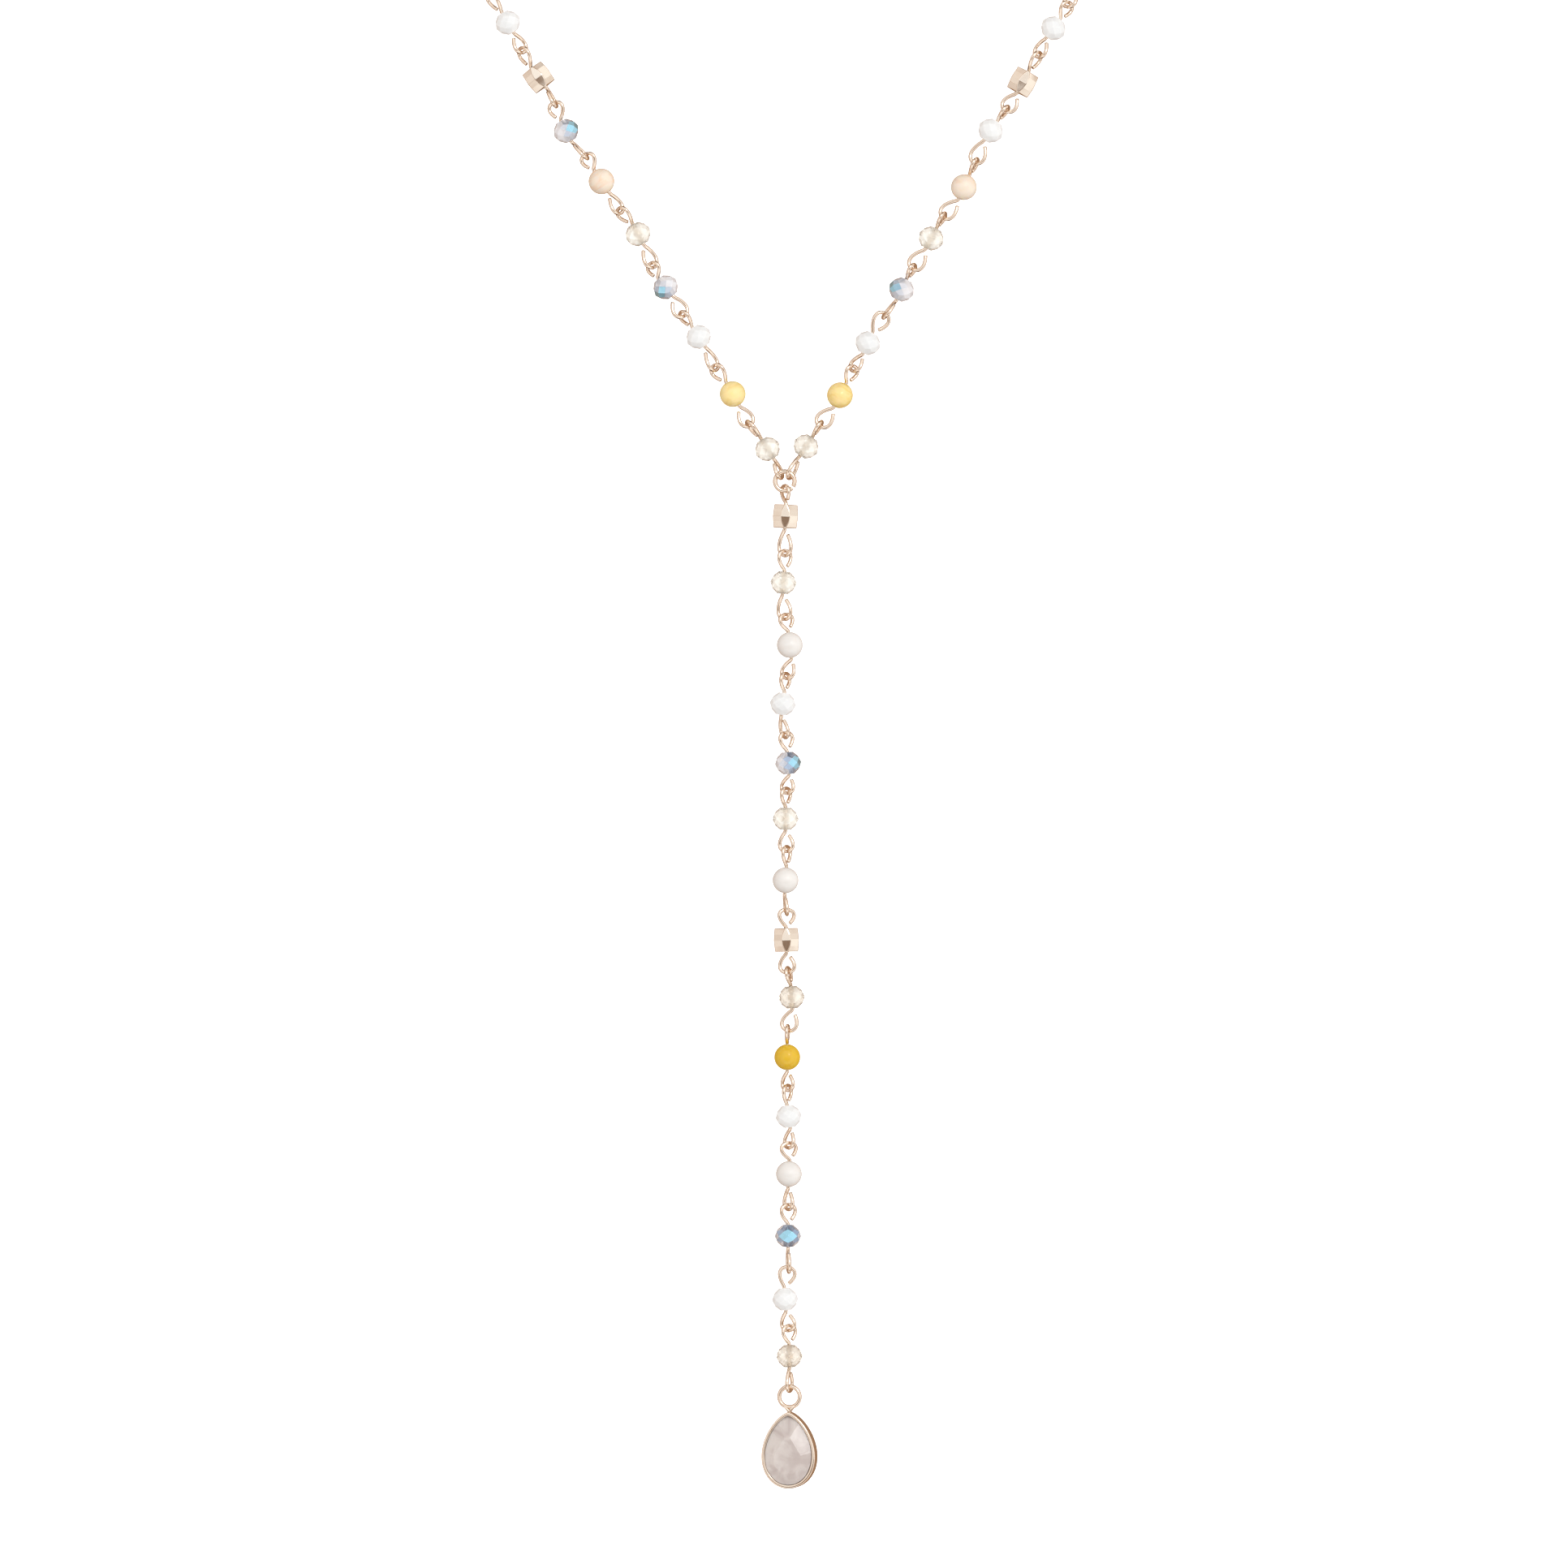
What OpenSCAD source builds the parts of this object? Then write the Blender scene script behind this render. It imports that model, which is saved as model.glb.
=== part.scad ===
// Lariat necklace in the Y form: beads on wire pins whose ends are bent into eyes that hook
// each other, two strands that meet at a jump ring, and a drop that ends in a pear pendant.
// Millimetres. Z is up, the wearer faces -Y, and the origin is at the nape, in the clasp.

/* [Wire pins] */
// Diameter of the pins' wire
wire_d = 0.6; // [0.4:0.05:0.65]
// Width of an eye over its wire
eye_w = 2.95; // [2.75:0.1:3.15]
// Usual length from a bead to the middle of the hook beyond it
eye_long = 2.75; // [2.6:0.05:3.1]
// Straight wire between a bead and the bend of its eye
neck = 0.25; // [0.2:0.05:0.35]
// Gap between wires that hook each other
wire_gap = 0.15; // [0.14:0.01:0.2]
// Gap between a bead's drilled hole and its wire
hole_gap = 0.15; // [0.1:0.05:0.25]

/* [Beads] */
// Diameter of the round stones
round_d = 4; // [3.6:0.1:4.4]
// Diameter of the faceted rondelles
rondelle_d = 4.1; // [3.4:0.1:4.2]
// Length of a rondelle along its wire
rondelle_l = 3.4; // [3:0.1:3.8]
// Diameter of the metal nuggets
nugget_d = 3.9; // [3.3:0.1:4.1]
// Length of a nugget along its wire
nugget_l = 3.6; // [3.2:0.1:4]
// Facets round a rondelle
rondelle_facets = 8; // [7:1:10]
// Facets round a nugget
nugget_facets = 4; // [4:1:6]

/* [Hanging form] */
// Angle between the left strand and the upright
left_angle = 31.2; // [27:0.2:35]
// Angle between the right strand and the upright
right_angle = 30.6; // [27:0.2:35]
// Angle by which the drop hangs off the upright
drop_lean = 0.3; // [0:0.1:2]
// Pins on each side behind the visible ones
hidden_pins = 13; // [11:1:15]
// Depth of the neck opening, as a share of the hidden stretch
depth_share = 0.72; // [0.66:0.01:0.76]
// Rise from the visible strands to the nape, as a share of the hidden stretch
rise_share = 0.4; // [0.3:0.01:0.46]

/* [Rings] */
// Outer diameter of the jump ring where the strands meet
junction_d = 3.7; // [3.5:0.1:4.1]
// Wire of that ring
junction_wire = 0.7; // [0.55:0.05:0.75]
// Opening of its join
junction_cut = 10; // [6:1:20]
// Where the strands hook it, from its top
junction_spread = 40; // [38:1:46]
// Outer diameter of the ring on the pendant
bail_d = 3.85; // [3.65:0.1:4.25]
// Wire of that ring
bail_wire = 0.65; // [0.5:0.05:0.7]

/* [Pendant] */
// Width over the setting
pendant_w = 8.4; // [8:0.1:9.2]
// Height over the setting
pendant_h = 11.8; // [11:0.2:12.6]
// Depth of the setting's wall
setting_depth = 2.6; // [2.2:0.1:3]
// Thickness of the setting's wall
setting_wall = 0.35; // [0.3:0.05:0.5]
// Width of the lip that holds the stone
lip = 0.2; // [0.15:0.05:0.4]
// Thickness of that lip
lip_t = 0.35; // [0.3:0.05:0.5]
// Height of the stone above the setting's front
stone_crown = 0.7; // [0.5:0.1:1]
// Depth of the stone behind its girdle
stone_pavilion = 1.5; // [1.1:0.1:1.7]
// Gap between the stone and its setting
stone_gap = 0.06; // [0.05:0.01:0.1]
// Height of the tip at which the setting's strip crosses, below its ring
tip_drop = 0.4; // [0.2:0.05:0.6]
// Spread of the strip's ends on either side of the tip, where they hold the ring
tip_spread = 0.75; // [0.6:0.05:0.9]
// Depth of the strip's ends
tip_depth = 1.2; // [0.8:0.1:1.6]
// Turn of the pendant about its hanging line
pendant_turn = -10; // [-20:1:0]

/* [Clasp] */
// Diameter of the barrel
barrel_d = 3.4; // [3:0.1:4]
// Length of the barrel
barrel_l = 8; // [7:0.5:10]
// Outer diameter of the rings at its ends
clasp_ring_d = 3; // [2.8:0.1:3.4]
// Wire of those rings
clasp_wire = 0.6; // [0.5:0.05:0.7]

/* [Hidden] */
$fn = 48;

// Columns of the bead tables. The near eye is the one on the junction's side. Eye lengths are
// shares of eye_long and the bead's side step a share of round_d, towards the middle on a
// strand and to the left on the drop. Tilt and turns are in degrees, from the line of hooks
// and from the front plane.
KIND = 0;
NEAR = 1;
FAR = 2;
SIDE = 3;
TILT = 4;
NEAR_TURN = 5;
FAR_TURN = 6;
LEFT_BEADS = [
  ["champagne", 1.04, 1.16,  0.13, -1,  68, -75],
  ["yellow",    1.14, 1.04,  0.08,  2,  25, -40],
  ["opal",      1.34, 0.94,  0.10, -2,  50, -60],
  ["blue",      1.16, 0.82,  0,    -9,  20, -42],
  ["champagne", 1.29, 1.02,  0.15,  3,  38, -50],
  ["peach",     1.22, 0.90,  0,    -3,  47, -30],
  ["blue",      1.20, 0.96, -0.16,  4,  80, -25],
  ["nugget",    1.13, 1.12,  0,    -6,  80, -52],
  ["opal",      1.12, 1.20,  0.08,  1,  45, -58],
];
RIGHT_BEADS = [
  ["champagne", 1.28, 0.89,  0.04, -3, -68, -80],
  ["yellow",    1.20, 0.94, -0.08,  3,  10, -45],
  ["opal",      1.02, 1.17,  0.02,  6,  50, -15],
  ["blue",      1.14, 0.81, -0.05,  5,  80, -70],
  ["champagne", 1.26, 0.86, -0.03,  3,  10, -75],
  ["peach",     1.20, 0.88, -0.11,  6,  20, -75],
  ["opal",      1.26, 0.91,  0.11, -4,  20, -75],
  ["nugget",    1.07, 1.12,  0,     2,  20, -60],
  ["opal",      1.08, 0.94,  0.04, -6,  45, -45],
];
DROP_BEADS = [
  ["nugget",    0.92, 1.41, -0.02,  3,  62,  39],
  ["champagne", 1.03, 1.30,  0.07,  5, -39,  35],
  ["moon",      0.85, 1.00, -0.16, -7, -35,  38],
  ["opal",      0.95, 1.13,  0.12,  8, -55,  62],
  ["blue",      0.95, 0.93, -0.07, -5, -35,  39],
  ["champagne", 0.95, 1.08,  0.04,  0, -55,  29],
  ["moon",      1.02, 1.05,  0.05,  4, -62,  83],
  ["nugget",    0.91, 1.04,  0.03, -1, -14,  18],
  ["champagne", 0.90, 1.11, -0.16, -4, -73,  12],
  ["yellow",    0.90, 0.99,  0.02,  0, -83,  45],
  ["opal",      0.98, 1.01, -0.02, -8, -60,  55],
  ["moon",      0.87, 1.13, -0.02,  3, -18,  58],
  ["blue",      0.99, 1.28,  0.03,  0, -26,  83],
  ["opal",      1.03, 1.00,  0.15, -4,  -5,  32],
  ["champagne", 0.95, 1.22,  0,     0, -36, -70],
];
// Turns of the hidden pins' eyes, and of the last one's, square to the clasp's ring
HIDDEN_TURNS = [45, -45];
CLASP_TURN = 90;
VISIBLE = len(LEFT_BEADS);

// How the metal and stones look
ROSE_GOLD = "#e6bfa0";
COLOURS = [
  ["champagne", "#e9e1d2"],
  ["yellow", "#f0cf62"],
  ["opal", "#f1f0ee"],
  ["blue", "#a9c4e0"],
  ["peach", "#f2dcc2"],
  ["moon", "#e9e3df"],
  ["nugget", ROSE_GOLD],
];
HIDDEN_KINDS = ["champagne", "yellow", "opal", "blue", "peach", "nugget"];

// Sides of a pin's wire, and steps along an eye's bend in view and behind the neck. They
// are odd, so that an eye ends in a short straight side across the one it hooks.
WIRE_SIDES = 5;
SEEN_STEPS = 9;
BACK_STEPS = 5;
EYE_START = 50;
EYE_END = 306;
// Brings the widest part of sin(a) * sin(a / 2) to 1
PEAR = 3 * sqrt(3) / 4;

// Small vector helpers
function unit(v) = v / norm(v);
function upright_to(v, axis) = unit(v - (v * axis) * axis);
function sided(p, side) = [side * p[0], p[1], p[2]];
function total(list, count, i = 0) = i >= count ? 0 : list[i] + total(list, count, i + 1);

// Lengths of a bead, of a pin from hook to hook, and of the step inside a hook
function bead_len(kind) =
  kind == "nugget" ? nugget_l :
  kind == "moon" || kind == "peach" || kind == "yellow" ? round_d : rondelle_l;
function pin_len(row) = bead_len(row[KIND]) + (row[NEAR] + row[FAR]) * eye_long;
function hook_step(other_wire) = (wire_d + other_wire) / 2 + wire_gap;
HOOK = hook_step(wire_d);

// A whole strand's rows: the visible ones, then the same beads again behind the neck
function hidden_row(rows, i) =
  let (far_turn = i == hidden_pins - 1 ? CLASP_TURN : HIDDEN_TURNS[1])
  [rows[i % VISIBLE][KIND], 1, 1, 0, 0, HIDDEN_TURNS[0], far_turn];
function strand_rows(rows) =
  concat(rows, [for (i = [0 : hidden_pins - 1]) hidden_row(rows, i)]);
LEFT_ROWS = strand_rows(LEFT_BEADS);
RIGHT_ROWS = strand_rows(RIGHT_BEADS);
function lengths(rows) = [for (row = rows) pin_len(row)];
function visible_len(rows) = total(lengths(rows), VISIBLE);
function hidden_len(rows) = total(lengths(rows), len(rows)) - visible_len(rows);

// The junction ring is at [0, 0, 0] until the whole is moved to the nape. Both strands are
// worked out as if on the left.
JUNCTION_R = (junction_d - junction_wire) / 2;
function strand_dir(angle) = [-sin(angle), 0, cos(angle)];
function strand_at(angle, distance) =
  JUNCTION_R * strand_dir(junction_spread)
  + strand_dir(angle) * (distance + HOOK / 2 - hook_step(junction_wire));
DROP_DIR = [sin(drop_lean), 0, -cos(drop_lean)];
DROP_START = [0, 0, -JUNCTION_R] - DROP_DIR * (hook_step(junction_wire) - HOOK / 2);

// The clasp's rings overlap its barrel by their wire, and the strands end at their far side
CLASP_RING_R = (clasp_ring_d - clasp_wire) / 2;
CLASP_RING_X = barrel_l / 2 + CLASP_RING_R - clasp_wire / 4;
CLASP_HOOK_X = CLASP_RING_X + CLASP_RING_R - hook_step(clasp_wire) + HOOK / 2;

// Route of a hidden stretch: one Bezier curve from the last visible hook to the clasp, whose
// handles are lengthened until it is as long as its pins. Its ends are both end points and
// the way in which it starts.
LEFT_TOP = strand_at(left_angle, visible_len(LEFT_ROWS));
RIGHT_TOP = strand_at(right_angle, visible_len(RIGHT_ROWS));
HIDDEN_MEAN = (hidden_len(LEFT_ROWS) + hidden_len(RIGHT_ROWS)) / 2;
NAPE = [
  0,
  depth_share * HIDDEN_MEAN,
  (LEFT_TOP[2] + RIGHT_TOP[2]) / 2 + rise_share * HIDDEN_MEAN
];
ROUTE_STEPS = 40;
HANDLE_TRIES = 24;
function route_point(ends, handle, t) =
  let (s = 1 - t)
  s * s * s * ends[0] + 3 * s * s * t * (ends[0] + handle * ends[2])
  + 3 * s * t * t * (ends[1] - handle * [1, 0, 0]) + t * t * t * ends[1];
function route(ends, handle) =
  [for (i = [0 : ROUTE_STEPS]) route_point(ends, handle, i / ROUTE_STEPS)];
function route_len(path) =
  total([for (i = [1 : len(path) - 1]) norm(path[i] - path[i - 1])], len(path) - 1);
function fit_handle(ends, wanted, low, high, tries) =
  let (mid = (low + high) / 2)
  tries == 0 ? mid :
  route_len(route(ends, mid)) < wanted ?
    fit_handle(ends, wanted, mid, high, tries - 1) :
    fit_handle(ends, wanted, low, mid, tries - 1);
function along(path, distance, i = 0) =
  let (step = norm(path[i + 1] - path[i]))
  distance <= step || i == len(path) - 2 ?
    path[i] + (path[i + 1] - path[i]) * distance / step :
    along(path, distance - step, i + 1);
function hidden_path(rows, top, angle) =
  let (
    ends = [top, NAPE - [CLASP_HOOK_X, 0, 0], strand_dir(angle)],
    wanted = hidden_len(rows)
  )
  route(ends, fit_handle(ends, wanted, 0, wanted, HANDLE_TRIES));

// Middles of the hooks, from the junction outwards
function strand_hooks(rows, top, angle) =
  let (path = hidden_path(rows, top, angle), all = lengths(rows))
  concat(
    [for (i = [0 : VISIBLE]) strand_at(angle, total(all, i))],
    [for (i = [VISIBLE + 1 : len(rows)]) along(path, total(all, i) - visible_len(rows))]
  );
DROP_HOOKS =
  [for (i = [0 : len(DROP_BEADS)]) DROP_START + DROP_DIR * total(lengths(DROP_BEADS), i)];

// Facing of each pin, carried along the strand without twist; it starts towards the wearer
function facings(hooks, i = 0, last = [0, 1, 0]) =
  i >= len(hooks) - 1 ? [] :
  let (now = upright_to(last, unit(hooks[i + 1] - hooks[i])))
  concat([now], facings(hooks, i + 1, now));

// One pin's places: its bead's middle and axis, and the tips that its two eyes reach
function pin_place(row, from, to, facing) =
  let (
    dir = unit(to - from),
    side = cross(facing, dir),
    slack = norm(to - from) - pin_len(row),
    centre = from + dir * (row[NEAR] * eye_long + bead_len(row[KIND]) / 2 + slack / 2)
      + side * row[SIDE] * round_d,
    axis = cos(row[TILT]) * dir + sin(row[TILT]) * side
  )
  [centre, axis, from - dir * HOOK / 2, to + dir * HOOK / 2, side, facing];
function pin_places(rows, hooks) =
  let (faces = facings(hooks))
  [for (i = [0 : len(rows) - 1]) pin_place(rows[i], hooks[i], hooks[i + 1], faces[i])];
LEFT_PLACES = pin_places(LEFT_ROWS, strand_hooks(LEFT_ROWS, LEFT_TOP, left_angle));
RIGHT_PLACES = pin_places(RIGHT_ROWS, strand_hooks(RIGHT_ROWS, RIGHT_TOP, right_angle));
DROP_PLACES = pin_places(DROP_BEADS, DROP_HOOKS);

// One eye: a pear-shaped bend from the pin's neck out to the tip and back to its cut end
function eye_wire(root, tip, turned, steps) =
  let (
    reach = norm(tip - root),
    out = (tip - root) / reach,
    across = upright_to(turned, out) * PEAR * (eye_w - wire_d) / 2,
    step = (EYE_END - EYE_START) / steps,
    rise = reach / (1 + cos(step / 2))
  )
  [
    for (i = [0 : steps])
    let (a = EYE_START + step * i)
    root + out * rise * (1 - cos(a)) + across * sin(a) * sin(a / 2)
  ];
function reversed(list) = [for (i = [len(list) - 1 : -1 : 0]) list[i]];
function pin_wire(row, place, steps) =
  let (
    half = bead_len(row[KIND]) / 2 + neck,
    near_root = place[0] - place[1] * half,
    far_root = place[0] + place[1] * half,
    near_across = cos(row[NEAR_TURN]) * place[4] + sin(row[NEAR_TURN]) * place[5],
    far_across = cos(row[FAR_TURN]) * place[4] + sin(row[FAR_TURN]) * place[5]
  )
  concat(
    reversed(eye_wire(near_root, place[2], near_across, steps)),
    [near_root, far_root],
    eye_wire(far_root, place[3], far_across, steps)
  );

// A wire swept along points: one ring of corners at each, in the plane that halves the bend
function bend_axis(path, i) =
  i == 0 ? unit(path[1] - path[0]) :
  i == len(path) - 1 ? unit(path[i] - path[i - 1]) :
  unit(unit(path[i + 1] - path[i]) + unit(path[i] - path[i - 1]));
function carried(path, i, last) =
  i >= len(path) ? [] :
  let (now = upright_to(last, bend_axis(path, i)))
  concat([now], carried(path, i + 1, now));
function any_upright(axis) =
  upright_to(abs(axis[2]) < 0.9 ? [0, 0, 1] : [1, 0, 0], axis);
function wire_rings(path, r) =
  let (ups = carried(path, 0, any_upright(bend_axis(path, 0))))
  [
    for (i = [0 : len(path) - 1])
    let (up = ups[i], across = cross(bend_axis(path, i), up))
    for (j = [0 : WIRE_SIDES - 1])
    path[i] + r * (cos(360 * j / WIRE_SIDES) * up + sin(360 * j / WIRE_SIDES) * across)
  ];
// Outward faces of a solid built of rings with s corners each, of which the first is clockwise
// as seen from outside
function stack_faces(rings, s, first = 0) =
  let (last = first + (rings - 1) * s)
  concat(
    [[for (j = [0 : s - 1]) first + j]],
    [
      for (i = [0 : rings - 2])
      for (j = [0 : s - 1])
      let (a = first + i * s, k = (j + 1) % s)
      [a + j, a + s + j, a + s + k, a + k]
    ],
    [[for (j = [s - 1 : -1 : 0]) last + j]]
  );

// All wires of a node as loose shells of one polyhedron
module wires(paths) {
  count = len(paths[0]);
  points = [for (path = paths) each wire_rings(path, wire_d / 2)];
  faces = [
    for (i = [0 : len(paths) - 1])
    each stack_faces(count, WIRE_SIDES, i * count * WIRE_SIDES)
  ];
  polyhedron(points = points, faces = faces, convexity = 10);
}

// Pins first to last of a row list. Places are worked out as if on the left, and side -1
// mirrors them to the right.
module pins(rows, places, side, first, last) {
  steps = first < VISIBLE ? SEEN_STEPS : BACK_STEPS;
  color(ROSE_GOLD)
    translate(-NAPE)
    wires([
      for (i = [first : last])
      [for (p = pin_wire(rows[i], places[i], steps)) sided(p, side)]
    ]);
}

// A cut bead: diamond facets round the girdle, kites above and below, then a flat table
module cut_solid(facets, d, l, shoulder, crown, table) {
  girdle_r = d / 2;
  shoulder_r = girdle_r * cos(180 / facets);
  slope = (girdle_r - shoulder_r * cos(180 / facets)) / shoulder;
  crown_r = girdle_r - slope * crown;
  rings = [
    [table * girdle_r, 1, 0],
    [crown_r, crown, 0],
    [shoulder_r, shoulder, 0.5],
    [girdle_r, 0, 0],
    [shoulder_r, -shoulder, 0.5],
    [crown_r, -crown, 0],
    [table * girdle_r, -1, 0],
  ];
  points = [
    for (ring = rings)
    for (j = [0 : facets - 1])
    let (a = 360 * (j + ring[2]) / facets)
    [ring[0] * cos(a), ring[0] * sin(a), ring[1] * l / 2]
  ];
  n = facets;
  faces = [
    [for (j = [n - 1 : -1 : 0]) j],
    for (j = [0 : n - 1])
    let (k = (j + 1) % n, h = (j + n - 1) % n)
    each [
      [j, k, n + k, n + j],
      [n + j, n + k, 2 * n + j],
      [n + j, 2 * n + j, 3 * n + j, 2 * n + h],
      [2 * n + j, 3 * n + k, 4 * n + j, 3 * n + j],
      [5 * n + j, 4 * n + h, 3 * n + j, 4 * n + j],
      [5 * n + k, 5 * n + j, 4 * n + j],
      [5 * n + j, 5 * n + k, 6 * n + k, 6 * n + j],
    ],
    [for (j = [0 : n - 1]) 6 * n + j],
  ];
  polyhedron(points = points, faces = faces, convexity = 4);
}

// A metal nugget: a barrel with flat sides, whose upright edges are cut to two-faced lozenges
// that face the front. NUGGET_LEVELS holds shares of its half length and of its corners' radius,
// NUGGET_CORNER how much of that radius the lozenges leave, and NUGGET_SLOPE their faces' lean
// in degrees.
NUGGET_LEVELS = [[-1, 0.74], [-0.5, 0.92], [0, 1], [0.5, 0.92], [1, 0.74]];
NUGGET_CORNER = 0.74;
NUGGET_SLOPE = 5;
FRONT_AZIMUTH = -90;
function nugget_ring(shift, r, z) = [
  for (j = [0 : nugget_facets - 1])
  let (a = 360 * (j + shift) / nugget_facets + FRONT_AZIMUTH)
  [r * cos(a), r * sin(a), z]
];
module nugget_solid() {
  cut_r = nugget_d / 2;
  barrel = [
    for (level = NUGGET_LEVELS)
    each nugget_ring(0, level[1] * cut_r / NUGGET_CORNER, level[0] * nugget_l / 2)
  ];
  cutter = [
    for (z = [-nugget_l, 0, nugget_l])
    each nugget_ring(0.5, (cut_r - abs(z) * tan(NUGGET_SLOPE)) / cos(180 / nugget_facets), z)
  ];
  intersection() {
    polyhedron(points = barrel, faces = stack_faces(len(NUGGET_LEVELS), nugget_facets));
    polyhedron(points = cutter, faces = stack_faces(3, nugget_facets));
  }
}

// Shares of a rondelle's half length at its facets' corners, and of its radius at its table
RONDELLE_CUT = [0.4, 0.62, 0.42];
module bead_solid(kind) {
  if (kind == "nugget") nugget_solid();
  else if (kind == "moon" || kind == "peach" || kind == "yellow")
    sphere(d = round_d);
  else
    cut_solid(
      rondelle_facets, rondelle_d, rondelle_l,
      RONDELLE_CUT[0], RONDELLE_CUT[1], RONDELLE_CUT[2]
    );
}

// A bead along Z, drilled for its wire
module drilled(kind) {
  difference() {
    bead_solid(kind);
    cylinder(h = bead_len(kind) * 2, d = wire_d + 2 * hole_gap, center = true);
  }
}

// The same bead on its pin
module bead(row, place, side) {
  kind = row[KIND];
  centre = sided(place[0], side);
  axis = sided(place[1], side);
  flat = norm([axis[0], axis[1]]);
  color(COLOURS[search([kind], COLOURS)[0]][1])
    translate(centre - NAPE)
    rotate([0, atan2(flat, axis[2]), atan2(axis[1], axis[0])])
    drilled(kind);
}

// Hidden beads of one kind, on both sides
module hidden_beads(kind) {
  for (i = [VISIBLE : len(LEFT_ROWS) - 1]) {
    if (LEFT_ROWS[i][KIND] == kind) bead(LEFT_ROWS[i], LEFT_PLACES[i], 1);
    if (RIGHT_ROWS[i][KIND] == kind) bead(RIGHT_ROWS[i], RIGHT_PLACES[i], -1);
  }
}

module ring(r, wire, angle = 360) {
  rotate_extrude(angle = angle) translate([r, 0]) circle(d = wire);
}

// The jump ring faces forward, its join at the lower right
JOIN_ANGLE = -38;
module junction_ring() {
  color(ROSE_GOLD)
    translate(-NAPE)
    rotate([90, 0, 0])
    rotate([0, 0, JOIN_ANGLE + junction_cut / 2])
    ring(JUNCTION_R, junction_wire, 360 - junction_cut);
}

// Pear outline with its tip at [0, 0] and its round end down
PEAR_POINTS = 40;
PEAR_POWER = 0.4;
PEAR_COS = -PEAR_POWER / (2 + PEAR_POWER);
PEAR_WIDEST = sqrt(1 - PEAR_COS * PEAR_COS) * pow((1 - PEAR_COS) / 2, PEAR_POWER / 2);
function pear_outline(w, h, count) = [
  for (i = [0 : count - 1])
  let (a = 360 * i / count)
  [
    w / 2 / PEAR_WIDEST * sin(a) * pow(sin(a / 2), PEAR_POWER),
    -h * (1 - cos(a)) / 2
  ]
];
function moved(outline, d) = [for (p = outline) p + [0, d]];
function pear(inset, count) =
  moved(pear_outline(pendant_w - 2 * inset, pendant_h - 2 * inset, count), -inset);

// The pendant hangs in its own frame, with the top of its ring's wire at [0, 0, 0]
BAIL_R = (bail_d - bail_wire) / 2;
SETTING_TOP = -2 * BAIL_R - bail_wire / 2 - tip_drop;
BAIL_AT = DROP_HOOKS[len(DROP_BEADS)] + DROP_DIR * (HOOK / 2 - hook_step(bail_wire));
module hung() {
  translate(BAIL_AT - NAPE) rotate([0, 0, pendant_turn]) children();
}

// A layer of the pear from y0 to y1, where -Y is the front
module pear_layer(inset, y0, y1) {
  translate([0, y1, SETTING_TOP])
    rotate([90, 0, 0])
    linear_extrude(y1 - y0)
    polygon(pear(inset, PEAR_POINTS));
}

// One end of the setting's strip, from the tip up to the middle of the ring's wire
module strip_end(side) {
  rise = BAIL_R - sqrt(BAIL_R * BAIL_R - tip_spread * tip_spread);
  reach = [tip_spread, rise + tip_drop + bail_wire / 2];
  translate([0, 0, SETTING_TOP])
    rotate([0, side * atan2(reach[0], reach[1]), 0])
    translate([-setting_wall / 2, -tip_depth / 2, -setting_wall])
    cube([setting_wall, tip_depth, norm(reach) + setting_wall]);
}

// Rim wall with a lip behind and before the stone's girdle, and the ring on its tip
FRONT = -setting_depth / 2;
BACK = setting_depth / 2;
GIRDLE_T = 0.3;
module pendant_setting() {
  groove_front = FRONT + lip_t;
  groove_back = groove_front + GIRDLE_T + 2 * stone_gap;
  color(ROSE_GOLD)
    hung() {
      difference() {
        pear_layer(0, FRONT, BACK);
        pear_layer(setting_wall + lip, FRONT - 1, BACK + 1);
        pear_layer(setting_wall, groove_front, groove_back);
        pear_layer(setting_wall, groove_back + lip_t, BACK + 1);
      }
      for (side = [-1, 1]) strip_end(side);
      translate([0, 0, -BAIL_R]) rotate([90, 0, 0]) ring(BAIL_R, bail_wire);
    }
}

// Pear-cut stone: a prism held by its girdle, cut by flat facets from its table out to the rim,
// and stepped in behind to a short keel. The table's corners, from its top down its right side,
// are shares of the pendant's width and height, and CROWN_SLOPE is its facets' in degrees.
STONE_POINTS = 20;
TABLE_CORNERS = [[0.05, 0.33], [0.246, 0.562], [0.24, 0.705], [0.105, 0.8]];
CROWN_SLOPE = 22;
KEEL_SHARE = 0.3;
KEEL_INSET = 0.86;
KEEL_DEPTH = 0.7;
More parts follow.
